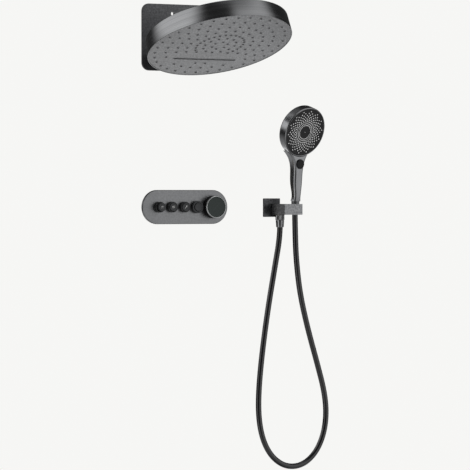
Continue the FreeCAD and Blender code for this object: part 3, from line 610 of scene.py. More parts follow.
@dataclass(frozen=True)
class BrushedMetal:
    """A coated metal with fine parallel brushing, a little lighter on its sharp outer edges."""

    name: str
    dark: Colour
    light: Colour
    run: Run
    smooth: float = 0.30
    rough: float = 0.42
    relief: float = 0.05
    metal: float = 1.0
    edge_tint: float = 0.6
    fineness: float = 1.0

    def stretch(self) -> tuple[float, float, float]:
        """How much finer the lines are across than along, in each direction.

        Returns:
            A scale for each axis.
        """
        along, across = LINE_ALONG, LINE_ACROSS
        return {
            Run.LINEAR_X: (along, across, across),
            Run.LINEAR_Z: (across, across, along),
            Run.AROUND_Z: (along, across, across),
        }[self.run]

    def material(self) -> bpy.types.Material:
        """Builds the finish.

        Returns:
            The material.
        """
        material, tree, shader = blank_material(self.name)
        place = put(tree, "ShaderNodeTexCoord", {}).outputs["Object"]
        lined = place
        if self.run is Run.AROUND_Z:
            lined = use_group(tree, GROUPS.around_axis, {"Place": place}).outputs[0]
        lines = use_group(tree, GROUPS.brushed,
                          {"Place": lined, "Stretch": self.stretch(), "Fineness": self.fineness})
        cloud = use_group(tree, GROUPS.mottle, {"Place": place, "Cloud Size": 12.0})
        edge_tint = use_group(tree, GROUPS.sharp_edge_tint, {"Place": place, "Amount": self.edge_tint})
        brushed = colour_mix(tree, lines.outputs["Shade"], self.dark, self.light)
        # Sharp outer edges are mixed towards a lighter copy of the light colour.
        edge_colour = tuple(min(1.0, part * EDGE_TINT_LIGHTER) for part in self.light)
        colour = colour_mix(tree, edge_tint.outputs["Mask"], brushed, edge_colour)
        tree.links.new(colour, shader.inputs["Base Color"])
        uneven = maths(tree, "ADD", maths(tree, "MULTIPLY", lines.outputs["Shade"], 0.7),
                       maths(tree, "MULTIPLY", cloud.outputs["Cloud"], 0.3))
        tree.links.new(ramp(tree, uneven, 0.0, 1.0, self.smooth, self.rough), shader.inputs["Roughness"])
        shader.inputs["Metallic"].default_value = self.metal
        bump = put(tree, "ShaderNodeBump",
                   {"Height": lines.outputs["Height"], "Strength": self.relief, "Distance": 0.0002})
        tree.links.new(bump.outputs[0], shader.inputs["Normal"])
        return material


@dataclass(frozen=True)
class MouldedPlastic:
    """A moulded plastic or rubber with a fine skin and cloudy gloss."""

    name: str
    colour: Colour
    smooth: float = 0.3
    rough: float = 0.5
    relief: float = 0.12
    grain: float = 1800.0
    specular: float = 0.5

    def material(self) -> bpy.types.Material:
        """Builds the finish.

        Returns:
            The material.
        """
        material, tree, shader = blank_material(self.name)
        place = put(tree, "ShaderNodeTexCoord", {}).outputs["Object"]
        skin = use_group(tree, GROUPS.mottle,
                         {"Place": place, "Cloud Size": 45.0, "Grain Size": self.grain})
        edge_tint = use_group(tree, GROUPS.sharp_edge_tint, {"Place": place, "Amount": 0.35})
        darker = tuple(part * 0.75 for part in self.colour)
        lighter = tuple(min(1.0, part * 1.25) for part in self.colour)
        body = colour_mix(tree, skin.outputs["Cloud"], darker, lighter)
        # Sharp outer edges are mixed towards a lighter copy of the colour.
        edge_colour = tuple(min(1.0, part * 1.6 + 0.01) for part in self.colour)
        tree.links.new(colour_mix(tree, edge_tint.outputs["Mask"], body, edge_colour), shader.inputs["Base Color"])
        tree.links.new(ramp(tree, skin.outputs["Cloud"], 0.0, 1.0, self.smooth, self.rough),
                       shader.inputs["Roughness"])
        shader.inputs["Specular IOR Level"].default_value = self.specular
        bump = put(tree, "ShaderNodeBump",
                   {"Height": skin.outputs["Grain"], "Strength": self.relief, "Distance": 0.0001})
        tree.links.new(bump.outputs[0], shader.inputs["Normal"])
        return material


class Finishes:
    """Every finish of the set, made once."""

    def __init__(self) -> None:
        """Builds the materials."""
        dark, light = (0.137, 0.139, 0.142), (0.172, 0.174, 0.179)
        self.plate = BrushedMetal("gunmetal_plate", dark, light, Run.LINEAR_X, relief=0.02,
                                  edge_tint=0.2).material()
        # A darker copy of the plate's gunmetal: painted shade for the head's and the holder's wall plates,
        # standing in for the shadow that falls on them behind the drum and the block.
        self.wall_plate = BrushedMetal("gunmetal_wall_plate_painted_shade", (0.05, 0.051, 0.053), (0.075, 0.076, 0.079),
                                       Run.LINEAR_X).material()
        self.turned = BrushedMetal("gunmetal_turned", dark, light, Run.AROUND_Z).material()
        self.band = BrushedMetal("gunmetal_band", (0.15, 0.152, 0.156), (0.23, 0.233, 0.238),
                                 Run.AROUND_Z, smooth=0.15, rough=0.26).material()
        self.handle = BrushedMetal("gunmetal_handle", (0.17, 0.172, 0.176), (0.22, 0.223, 0.23),
                                   Run.LINEAR_Z, smooth=0.16, rough=0.26, edge_tint=0.1).material()
        self.block = BrushedMetal("gunmetal_block", dark, light, Run.LINEAR_X,
                                  smooth=0.34, rough=0.48, fineness=0.5).material()
        self.face = BrushedMetal("face_metal", (0.21, 0.213, 0.218), (0.25, 0.253, 0.26),
                                 Run.AROUND_Z, smooth=0.36, rough=0.48, metal=0.8, relief=0.03).material()
        self.bright = BrushedMetal("bright_chamfer", (0.30, 0.31, 0.31), (0.42, 0.43, 0.43),
                                   Run.AROUND_Z, smooth=0.2, rough=0.3).material()
        self.grip = BrushedMetal("dark_grip", (0.02, 0.02, 0.021), (0.05, 0.05, 0.052),
                                 Run.LINEAR_Z, smooth=0.35, rough=0.5).material()
        self.ring = BrushedMetal("button_ring", (0.05, 0.051, 0.053), (0.10, 0.102, 0.106),
                                 Run.LINEAR_Z, smooth=0.3, rough=0.45).material()
        self.knob_face = BrushedMetal("knob_face", (0.026, 0.032, 0.030), (0.036, 0.043, 0.041),
                                      Run.AROUND_Z, smooth=0.4, rough=0.55, metal=0.8).material()
        self.cap_face = BrushedMetal("cap_face", (0.022, 0.023, 0.024), (0.05, 0.051, 0.053),
                                     Run.AROUND_Z, smooth=0.32, rough=0.45, metal=0.8).material()
        self.mark = MouldedPlastic("pale_mark", (0.42, 0.42, 0.41), relief=0.02).material()
        self.black = MouldedPlastic("black_plastic", (0.007, 0.007, 0.008), 0.3, 0.45,
                                    specular=0.25).material()
        self.button = MouldedPlastic("button_black", (0.007, 0.007, 0.008), 0.5, 0.7,
                                     specular=0.2).material()
        self.spray = MouldedPlastic("pale_silicone", (0.85, 0.86, 0.85), 0.4, 0.6).material()
        self.nozzle = MouldedPlastic("grey_silicone", (0.035, 0.036, 0.038), 0.45, 0.65).material()
        self.inner = MouldedPlastic("inner_plastic", (0.03, 0.03, 0.031), 0.4, 0.6).material()
        self.rubber = MouldedPlastic("seal_rubber", (0.02, 0.02, 0.02), 0.6, 0.8).material()
        self.hose = MouldedPlastic("hose_black", (0.006, 0.006, 0.007), 0.1, 0.16, relief=0.01,
                                   specular=0.55).material()
        self.brass = BrushedMetal("brass", (0.42, 0.27, 0.09), (0.62, 0.43, 0.17), Run.AROUND_Z,
                                  edge_tint=0.2).material()
        self.steel = BrushedMetal("steel", (0.4, 0.4, 0.4), (0.55, 0.55, 0.55), Run.LINEAR_X,
                                  edge_tint=0.2).material()
        self.black_steel = BrushedMetal("black_steel", (0.03, 0.03, 0.032), (0.07, 0.07, 0.074),
                                        Run.LINEAR_X, metal=0.7).material()


def dress(material: bpy.types.Material, *nodes: str) -> None:
    """Gives CAD nodes a material.

    Args:
        material: The finish.
        nodes: Names of the CAD nodes.
    """
    for node in nodes:
        slots = frame["nodes"][node].data.materials
        slots.clear()
        slots.append(material)
    log.info("dressed %d nodes in %s", len(nodes), material.name)


def build(
    name: str,
    shape: Shape,
    matrix: Matrix,
    material: bpy.types.Material,
    body: str,
    replaced: Sequence[str] = (),
    sharp: float = 32.0,
) -> bpy.types.Object:
    """Makes a visible piece from a shape.

    Args:
        name: The piece's name.
        shape: Its mesh, in millimetres in its own frame.
        matrix: Where that frame is, in metres.
        material: Its finish.
        body: The CAD body that it moves with.
        replaced: CAD nodes that it stands for.
        sharp: Edges that turn more than this many degrees stay sharp.

    Returns:
        The new object.
    """
    mesh = bpy.data.meshes.new(name)
    mesh.from_pydata([point * MM for point in shape.points], [], shape.faces)
    mesh.validate()
    mesh.shade_smooth()
    mesh.set_sharp_from_angle(angle=math.radians(sharp))
    mesh.materials.append(material)
    piece = bpy.data.objects.new(name, mesh)
    bpy.context.scene.collection.objects.link(piece)
    piece.matrix_world = matrix
    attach(piece, body)
    if replaced:
        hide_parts(*replaced)
    log.info("%s: %d points on %s", name, len(mesh.vertices), body)
    return piece


# ------------------------------------------------------------------ camera and studio
@dataclass(frozen=True)
class SoftBox:
    """A tall soft light far away, with edges that fade."""

    azimuth: float
    inner: float
    outer: float
    strength: float
    top: float = 0.9
    bottom: float = -0.35

    def glow(self, tree: NodeTree, way: Socket) -> Socket:
        """Its brightness in a direction.

        Args:
            tree: The world's tree.
            way: The direction looked in.

        Returns:
            The brightness.
        """
        side = math.radians(self.azimuth)
        x, y, z = put(tree, "ShaderNodeSeparateXYZ", {0: way}).outputs
        flat = maths(tree, "SQRT", maths(tree, "ADD", maths(tree, "MULTIPLY", x, x),
                                         maths(tree, "MULTIPLY", y, y)))
        along = maths(tree, "ADD", maths(tree, "MULTIPLY", x, math.sin(side)),
                      maths(tree, "MULTIPLY", y, -math.cos(side)))
        facing = maths(tree, "DIVIDE", along, flat)
        limits = {"Value": facing, "From Min": math.cos(math.radians(self.outer)),
                  "From Max": math.cos(math.radians(self.inner)), "To Max": self.strength}
        across = put(tree, "ShaderNodeMapRange", limits, interpolation_type="SMOOTHSTEP").outputs[0]
        over = ramp(tree, z, self.top, self.top - 0.2)
        under = ramp(tree, z, self.bottom, self.bottom + 0.2)
        return maths(tree, "MULTIPLY", maths(tree, "MULTIPLY", across, over), under)


@dataclass
class Studio:
    """The camera, the soft lights and the pale floor and backdrop."""

    azimuth: float = 28.5
    distance: float = 7.0
    eye_height: float = 0.0293
    aside: float = 0.017735
    down: float = 0.013937
    lens: float = 219.83
    paper: Colour = (0.923, 0.923, 0.908)
    floor_drop: float = 0.02
    base_glow: float = 0.045
    ground_strength: float = 0.72
    ceiling_strength: float = 0.5
    boxes: Sequence[SoftBox] = (
        SoftBox(azimuth=-112.0, inner=20.0, outer=54.0, strength=1.75, bottom=0.04),
        SoftBox(azimuth=-78.0, inner=7.0, outer=20.0, strength=1.7, top=0.22, bottom=-0.5),
        SoftBox(azimuth=40.0, inner=22.0, outer=52.0, strength=1.25),
        SoftBox(azimuth=150.0, inner=15.0, outer=45.0, strength=1.3, top=-0.02, bottom=-0.5),
    )

    def camera(self) -> None:
        """Stands the camera at the object's left, looking at it level."""
        angle = math.radians(self.azimuth)
        ahead = Vector((math.sin(angle), math.cos(angle), 0.0))
        right = Vector((math.cos(angle), -math.sin(angle), 0.0))
        look = ahead + right * self.aside - Vector((0, 0, self.down))
        data = bpy.data.cameras.new("camera")
        data.lens = self.lens
        data.sensor_width = 36.0
        data.clip_start, data.clip_end = 0.1, 100.0
        camera = bpy.data.objects.new("camera", data)
        camera.location = -ahead * self.distance + Vector((0, 0, self.eye_height))
        camera.rotation_euler = look.to_track_quat("-Z", "Y").to_euler()
        bpy.context.scene.collection.objects.link(camera)
        bpy.context.scene.camera = camera

    def panel(self, name: str, size: Point, azimuth: float, height: float, away: float, power: float) -> None:
        """Hangs one soft light that faces the object.

        Args:
            name: The light's name.
            size: Its width and height in metres.
            azimuth: Its direction from the object, in degrees from straight out, right positive.
            height: Its angle above the horizon in degrees.
            away: Its distance in metres.
            power: Its power in watts.
        """
        data = bpy.data.lights.new(name, "AREA")
        data.shape = "RECTANGLE"
        data.size, data.size_y = size
        data.energy = power
        light = bpy.data.objects.new(name, data)
        side, rise = math.radians(azimuth), math.radians(height)
        way = Vector((math.sin(side) * math.cos(rise), -math.cos(side) * math.cos(rise), math.sin(rise)))
        light.location = way * away
        light.rotation_euler = (-way).to_track_quat("-Z", "Y").to_euler()
        bpy.context.scene.collection.objects.link(light)

    def ceiling_glow(self, tree: NodeTree, way: Socket) -> Socket:
        """A broad pale ceiling, straight overhead only.

        Args:
            tree: The world's tree.
            way: The direction looked in.

        Returns:
            The light's strength.
        """
        height = put(tree, "ShaderNodeSeparateXYZ", {0: way}).outputs[2]
        return ramp(tree, height, 0.82, 0.97, 0.0, self.ceiling_strength)

    def ground_glow(self, tree: NodeTree, way: Socket) -> Socket:
        """Light that comes back up from the pale floor.

        Args:
            tree: The world's tree.
            way: The direction looked in.

        Returns:
            The light's strength.
        """
        height = put(tree, "ShaderNodeSeparateXYZ", {0: way}).outputs[2]
        start = ramp(tree, height, -0.12, -0.5)
        end = ramp(tree, height, -0.95, -0.7, 0.2)
        return maths(tree, "MULTIPLY", maths(tree, "MULTIPLY", start, end), self.ground_strength)

    def world(self) -> None:
        """A dim studio with its tall soft boxes, a pale floor below and paper behind it all."""
        world = bpy.data.worlds.new("studio")
        bpy.context.scene.world = world
        world.use_nodes = True
        tree = world.node_tree
        tree.nodes.clear()
        way = put(tree, "ShaderNodeTexCoord", {}).outputs["Generated"]
        glow = maths(tree, "ADD", self.base_glow, self.ground_glow(tree, way))
        glow = maths(tree, "ADD", glow, self.ceiling_glow(tree, way))
        for box in self.boxes:
            glow = maths(tree, "ADD", glow, box.glow(tree, way))
        studio = put(tree, "ShaderNodeBackground", {"Color": (1.0, 1.0, 1.0, 1.0), "Strength": glow})
        paper = put(tree, "ShaderNodeBackground", {"Color": (*self.paper, 1.0), "Strength": 1.0})
        seen = put(tree, "ShaderNodeLightPath", {}).outputs["Is Camera Ray"]
        mix = put(tree, "ShaderNodeMixShader", {0: seen, 1: studio.outputs[0], 2: paper.outputs[0]})
        end = tree.nodes.new("ShaderNodeOutputWorld")
        tree.links.new(mix.outputs[0], end.inputs[0])

    def sheet(self, name: str, corners: Sequence[tuple[float, float, float]]) -> None:
        """A paper sheet that shows from its front only and neither shades nor reflects.

        Args:
            name: The sheet's name.
            corners: Its four corners in metres.
        """
        mesh = bpy.data.meshes.new(name)
        mesh.from_pydata(corners, [], [(0, 1, 2, 3)])
        sheet = bpy.data.objects.new(name, mesh)
        material = bpy.data.materials.new(name)
        material.use_nodes = True
        tree = material.node_tree
        tree.nodes.clear()
        glow = put(tree, "ShaderNodeEmission", {"Color": (*self.paper, 1.0)})
        clear = tree.nodes.new("ShaderNodeBsdfTransparent")
        back = put(tree, "ShaderNodeNewGeometry", {}).outputs["Backfacing"]
        mix = put(tree, "ShaderNodeMixShader", {0: back, 1: glow.outputs[0], 2: clear.outputs[0]})
        end = tree.nodes.new("ShaderNodeOutputMaterial")
        tree.links.new(mix.outputs[0], end.inputs[0])
        mesh.materials.append(material)
        sheet.visible_diffuse = False
        sheet.visible_glossy = False
        sheet.visible_shadow = False
        sheet.visible_transmission = False
        bpy.context.scene.collection.objects.link(sheet)

    def build(self) -> None:
        """Sets up the whole studio."""
        self.camera()
        self.world()
        self.panel("top_softbox", (2.0, 1.2), 20.0, 76.0, 3.0, 5.0)
        low = cad_box[0].z - self.floor_drop
        wide, near, tall = 12.0, -12.0, 12.0
        self.sheet("wall_paper", [(-wide, 0.0005, low), (wide, 0.0005, low),
                                  (wide, 0.0005, tall), (-wide, 0.0005, tall)])
        self.sheet("pale_floor", [(-wide, near, low), (wide, near, low),
                                  (wide, wide, low), (-wide, wide, low)])
        scene = bpy.context.scene
        scene.view_settings.view_transform = "Standard"
        scene.view_settings.look = "None"
        log.info("studio ready")


# ------------------------------------------------------------------ hose
@dataclass
class Hose:
    """The flexible hose between the wall outlet and the hand shower."""

    route: Sequence[tuple[float, float, float]] = (
        (0.2575, -0.0230, -0.0507),
        (0.2565, -0.0230, -0.0800),
        (0.2440, -0.0235, -0.1410),
        (0.2200, -0.0245, -0.2640),
        (0.2010, -0.0270, -0.3840),
        (0.1920, -0.0290, -0.4720),
        (0.1935, -0.0310, -0.5350),
        (0.2070, -0.0330, -0.5860),
        (0.2330, -0.0345, -0.6235),
        (0.2705, -0.0360, -0.6445),
        (0.3130, -0.0375, -0.6420),
        (0.3485, -0.0395, -0.6160),
        (0.3715, -0.0415, -0.5730),
        (0.3800, -0.0435, -0.5200),
        (0.3735, -0.0450, -0.4620),
        (0.3510, -0.0465, -0.3890),
        (0.3220, -0.0485, -0.3010),
        (0.2990, -0.0505, -0.2160),
        (0.2880, -0.0520, -0.1400),
        (0.2840, -0.0525, -0.0790),
        (0.2820, -0.05423, -0.01814),
    )
    diameter: float = 0.014
    length: float = 1.33

    def build(self, finishes: Finishes) -> None:
        """Lays the hose along its route.

        Args:
            finishes: The set's finishes.
        """
        data = bpy.data.curves.new("hose", "CURVE")
        data.dimensions = "3D"
        data.bevel_depth = self.diameter / 2
        data.bevel_resolution = 8
        data.resolution_u = 16
        data.use_fill_caps = True
        spline = data.splines.new("NURBS")
        spline.points.add(len(self.route) - 1)
        for point, place in zip(spline.points, self.route):
            point.co = (*place, 1.0)
        spline.order_u = 3
        spline.use_endpoint_u = True
        data.materials.append(finishes.hose)
        hose = bpy.data.objects.new("hose", data)
        bpy.context.scene.collection.objects.link(hose)
        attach(hose, "root")
        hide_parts("shower_hose")
        log.info("hose laid, %d points", len(self.route))


# ------------------------------------------------------------------ overhead shower
@dataclass
class OverheadShower:
    """The rain disc on its hinged arm and wall plate."""

    tilt: float = 21.5
    radius: float = 175.0
    top_radius: float = 172.0
    height: float = 43.0
    wall: float = 2.5
    face_recess: float = 0.8
    face_thickness: float = 3.0
    slot_offset: float = 81.0
    slot_half: float = 84.0
    slot_width: float = 5.0
    slot_band: tuple[float, float] = (46.0, 104.0)
    slot_clear: float = 94.0
    rings: Sequence[tuple[float, int]] = (
        (158.0, 33), (131.0, 29), (105.0, 25), (81.0, 21), (59.0, 27), (40.0, 12), (19.0, 6),
    )

    def frame(self) -> Matrix:
        """The disc's frame: its face's centre, +Z up through the drum.

        Returns:
            The frame.
        """
        turn = tilted(Vector(), (-self.tilt, "X"))
        inset = self.face_recess + self.face_thickness / 2
        centre = middle_of("head_face_plate") - (turn @ Vector((0, 0, inset * MM)))
        return Matrix.Translation(centre) @ turn

    def nozzle_places(self) -> list[Point]:
        """Every nozzle's place on the face, clear of the band round the slot.

        Returns:
            The places.
        """
        places = []
        for radius, count in self.rings:
            for x, y in on_circle(count, radius, NOZZLE_START):
                in_band = self.slot_band[0] < y < self.slot_band[1]
                if not (in_band and abs(x) < self.slot_clear):
                    places.append((x, y))
        return places

    def drum(self) -> Shape:
        """The side wall and top with their soft edges and an inner lip.

        Returns:
            The mesh, in millimetres in its own frame.
        """
        outer = self.radius
        inner = outer - self.wall
        top_inner = self.top_radius - self.wall
        profile = [
            (0.4, self.height - self.wall), (top_inner, self.height - self.wall),
            (inner, 0.6), (inner + 0.9, 0.0), (outer - 0.5, 0.0), (outer, 0.6),
            (self.top_radius, self.height), (0.4, self.height),
        ]
        return lathe(softened(profile, 1.8), 240)

    def face(self) -> Shape:
        """Raised round bosses about the nozzles.

        Returns:
            The mesh, in millimetres in its own frame.
        """
        surface = self.face_recess
        boss = lathe(softened([(2.1, surface + 1.6), (2.1, surface - 0.7), (2.8, surface - 0.95),
                               (3.6, surface - 0.6), (4.7, surface + 0.1), (4.7, surface + 0.6)], 0.4,
                              closed=True), 20, closed=True)
        return scattered(boss, self.nozzle_places())

    def tips(self) -> Shape:
        """The soft nozzle tips with their small holes.

        Returns:
            The mesh, in millimetres in its own frame.
        """
        surface = self.face_recess
        tip = lathe([(2.0, surface + 3.0), (1.95, surface - 0.6), (1.6, surface - 1.0), (1.2, surface - 1.2),
                     (0.75, surface - 1.15), (0.55, surface - 0.6), (0.5, surface + 1.2)], 14)
        return scattered(tip, self.nozzle_places())

    def slot_lip(self) -> Shape:
        """A soft raised frame round the waterfall slot.

        Returns:
            The mesh, in millimetres in its own frame.
        """
        def outline(grow: float, level: float) -> list[Vector]:
            """The slot's outline grown by a width, at a level.

            Args:
                grow: How far it is grown.
                level: Its height.

            Returns:
                The outline's points.
            """
            end = self.slot_width / 2 + grow
            loop = []
            for side in (1, -1):
                for step in range(13):
                    angle = math.radians(-90 + 180 * step / 12)
                    x = side * (self.slot_half - self.slot_width / 2 + end * math.cos(angle))
                    loop.append(Vector((x, self.slot_offset + side * end * math.sin(angle), level)))
            return loop

        surface = self.face_recess
        levels = ((0.0, surface + 2.6), (0.0, surface - 0.2), (0.5, surface - 0.55), (1.4, surface - 0.55),
                  (2.6, surface - 0.1), (2.8, surface + 0.3))
        shape = Shape()
        shape.wrap([shape.ring(outline(grow, level)) for grow, level in levels], closed=True)
        return shape

    def slot_teeth(self) -> Shape:
        """Small blunt pins that comb the falling water, on both sides of the slot.

        Returns:
            The mesh, in millimetres in its own frame.
        """
        surface = self.face_recess
        pin = lathe(softened([(0.1, surface + 2.4), (0.75, surface + 2.4), (0.75, surface - 0.4),
                              (0.1, surface - 0.5)], 0.3, 2), 10)
        shape = Shape()
        count = int(self.slot_half / 2)
        for index in range(count):
            x = -self.slot_half + 3.0 + (2 * self.slot_half - 6.0) * index / (count - 1)
            for side in (-1, 1):
                shape.add(pin, Matrix.Translation((x, self.slot_offset + side * 1.75, 0)))
        return shape

    def build(self, finishes: Finishes) -> None:
        """Builds and dresses the overhead shower.

        Args:
            finishes: The set's finishes.
        """
        place = self.frame()
        body = "rain_head"
        build("rain_drum", self.drum(), place, finishes.band, body, ["head_shell"])
        build("nozzle_bosses", self.face(), place, finishes.face, body)
        build("rain_nozzle_tips", self.tips(), place, finishes.nozzle, body,
              ["rain_nozzles"])
        build("waterfall_lip", self.slot_lip(), place, finishes.face, body)
        build("waterfall_teeth", self.slot_teeth(), place, finishes.face, body)
        dress(finishes.face, "head_face_plate")
        # Painted shade: the head's wall plate takes the darker copy of the gunmetal.
        dress(finishes.wall_plate, "head_wall_plate")
        dress(finishes.inner, "waterfall_insert", "head_chamber_plate")
        dress(finishes.rubber, "head_face_seal", "head_plate_seal")
        dress(finishes.black_steel, "head_arm", "head_bracket")
        dress(finishes.steel, "tilt_pin", "tilt_pin_rings", "head_bracket_screws")
        dress(finishes.brass, "head_inlet_nipple")


# ------------------------------------------------------------------ control panel
class Icon(Enum):
    """The generic marks on the push caps."""

    RAIN = 1
    FALL = 2
    SPRAY = 3
    NONE = 4


@dataclass
class ControlPanel:
    """The wall panel with its push buttons and the temperature knob."""

    ring_radii: Sequence[float] = (13.0, 13.0, 13.0, 15.0)
    ring_back: float = 0.6
    ring_front: float = 11.0
    cap_radius: float = 10.3
    cap_length: float = 10.1
    stem_length: float = 57.0
    latched_front: float = 13.0
    popped_front: float = 20.0
    popped: int = 1
    knob_radius: float = 27.5
    knob_back: float = 0.6
    knob_front: float = 20.0
    spring_radius: float = 6.5
    spring_wire: float = 0.5

    def flow_ring(self, radius: float) -> Shape:
        """A grooved ring with a pocket for its cap and a sleeve behind it.

        Args:
            radius: The ring's radius.

        Returns:
            The mesh, in millimetres in its own frame.
        """
        back, front = self.ring_back, self.ring_front
        pocket = self.cap_radius + 0.3
        profile = [
            (3.8, back + 2.0), (pocket, back + 2.0), (pocket, front - 0.5), (pocket + 0.5, front - 0.1),
            (radius - 0.6, front - 0.1), (radius, front - 0.6), (radius, front - 1.8), (radius, back + 1.2),
            (radius, back + 0.5), (radius - 0.5, back), (8.0, back), (8.0, -15.0), (3.8, -15.0),
        ]
        wave = knurl(radius, back + 0.9, front - 1.5, 40, 0.45)
        return lathe(softened(profile, 0.35, 3, closed=True), 320, closed=True, wave=wave)

    def front_flat(self, radius: float) -> Shape:
        """The dark flat that closes a ring's front round its cap.

        Args:
            radius: The ring's radius.

        Returns:
            The mesh, in millimetres in its own frame.
        """
        inner, outer, front = self.cap_radius + 0.7, radius - 0.5, self.ring_front
        profile = [(inner, front - 0.6), (inner, front - 0.1), (inner + 0.2, front), (outer - 0.3, front),
                   (outer, front - 0.2), (outer, front - 0.6)]
        return lathe(softened(profile, 0.1, 2, closed=True), 128, closed=True)

    def push_cap(self, front: float) -> Shape:
        """A cap with a soft chamfer and a slightly dished front.

        Args:
            front: Height of the cap's front.

        Returns:
            The mesh, in millimetres in its own frame.
        """
        radius = self.cap_radius
        back = front - self.cap_length
        profile = [
            (0.3, back + 8.3), (radius - 1.8, back + 8.3), (radius - 1.8, back), (radius, back),
            (radius, front - 0.9), (radius - 0.9, front), (radius - 1.9, front - 0.12),
            (radius * 0.5, front - 0.45), (0.3, front - 0.5),
        ]
        low, high = front - self.stem_length, front - 2.0
        stem = lathe(softened([(0.3, low), (3.5, low), (3.5, high), (0.3, high)], 0.4), 32)
        return lathe(softened(profile, 0.4, 3), 96).add(stem)

    def icon(self, kind: Icon, front: float) -> Shape:
        """The raised mark on one cap: spray lines, a fall of water or a hand spray.

        Args:
            kind: Which mark.
            front: Height of the cap's front.

        Returns:
            The mesh, in millimetres in its own frame.
        """
        shape = Shape()
        level = front - 0.55
        if kind is Icon.RAIN:
            dome = [(x, 2.6 - 0.06 * x * x) for x in (3.6, 2.4, 1.2, 0, -1.2, -2.4, -3.6)]
            shape.add(raised_outline([(3.6, 1.1), *dome, (-3.6, 1.1)], level, 0.42, 0.1))
            for x in (-2.4, -0.8, 0.8, 2.4):
                lean = x * 0.16
                for drop in (0, 1):
                    top = 0.4 - 2.0 * drop
                    shift, low = lean * drop, top - 1.3
                    line = [(x - 0.25 + shift, low), (x + 0.25 + shift, low), (x + 0.25, top),
                            (x - 0.25, top)]
                    shape.add(raised_outline(line, level, 0.4, 0.05))
        elif kind is Icon.FALL:
            shape.add(raised_outline([(-3.8, 1.5), (3.8, 1.5), (3.8, 2.6), (-3.8, 2.6)], level, 0.42, 0.1))
            for index, x in enumerate((-2.7, -0.9, 0.9, 2.7)):
                low = -3.0 + 0.5 * abs(index - 1.5)
                fall = [(x - 0.45, low), (x + 0.45, low + 0.4), (x + 0.45, 0.8), (x - 0.45, 0.8)]
                shape.add(raised_outline(fall, level, 0.4, 0.08))
        elif kind is Icon.SPRAY:
            turn = Matrix.Rotation(math.radians(-42), 4, "Z")
            handle = raised_outline([(-0.6, -4.2), (0.6, -4.2), (0.5, 1.2), (-0.5, 1.2)], level, 0.42, 0.08)
            head = raised_outline(on_circle(20, 1.9), level, 0.44, 0.15)
            shape.add(handle, turn)
            shape.add(head, turn @ Matrix.Translation((0, 2.6, 0)))
        return shape

    def knob_body(self) -> Shape:
        """The knob's side with fine upright grooves and smooth bands at both ends.

        Returns:
            The mesh, in millimetres in its own frame.
        """
        radius, back, front = self.knob_radius, self.knob_back, self.knob_front
        profile = [
            (9.0, back + 2.0), (radius - 3.0, back + 2.0), (radius - 3.0, back), (radius - 0.6, back),
            (radius, back + 0.6), (radius, back + 1.8), (radius, back + 2.4), (radius, front - 3.4),
            (radius, front - 2.8), (radius, front - 1.3), (radius - 1.3, front - 0.1),
            (radius - 2.3, front - 0.1), (radius - 2.4, front - 2.4), (9.0, front - 2.4),
        ]
        wave = knurl(radius, back + 2.2, front - 3.0, 84, 0.55)
        return lathe(softened(profile, 0.35, 3, closed=True), 672, closed=True, wave=wave)

    def knob_chamfer(self) -> Shape:
        """The bright ring between the knob's side and its face.

        Returns:
            The mesh, in millimetres in its own frame.
        """
        radius, front = self.knob_radius, self.knob_front
        profile = [(radius - 0.02, front - 1.5), (radius, front - 1.2), (radius - 1.2, front),
                   (radius - 2.2, front), (radius - 2.3, front - 1.5)]
        return lathe(softened(profile, 0.25, 3, closed=True), 240, closed=True)

    def knob_face(self) -> Shape:
        """The knob's front disc, a little dished, with a fine step near its edge.

        Returns:
            The mesh, in millimetres in its own frame.
        """
        radius, front = self.knob_radius - 2.4, self.knob_front
        profile = [(0.3, front - 2.3), (radius, front - 2.3), (radius, front - 0.25),
                   (radius - 0.5, front - 0.05), (radius - 1.6, front - 0.05), (radius - 1.9, front - 0.35),
                   (radius * 0.5, front - 0.5),
                   (0.3, front - 0.55)]
        return lathe(softened(profile, 0.3, 3), 160)

    def spring(self, start: float, end: float) -> Shape:
        """A round wire spring between two heights.

        Args:
            start: Height of its back end.
            end: Height of its front end.

        Returns:
            The mesh, in millimetres in its own frame.
        """
        turns = max(3, int((end - start) / 2.2))
        steps, sides = turns * 28, 8
        sections = []
        for step in range(steps + 1):
            share = step / steps
            angle = math.tau * turns * share
            centre = Vector((self.spring_radius * math.cos(angle), self.spring_radius * math.sin(angle),
                             start + self.spring_wire + (end - start - 2 * self.spring_wire) * share))
            out = Vector((math.cos(angle), math.sin(angle), 0))
            section = []
            for side in range(sides):
                turn = math.tau * side / sides
                offset = out * math.cos(turn) + Vector((0, 0, 1)) * math.sin(turn)
                section.append(centre + offset * self.spring_wire)
            sections.append(section)
        return loft(sections)

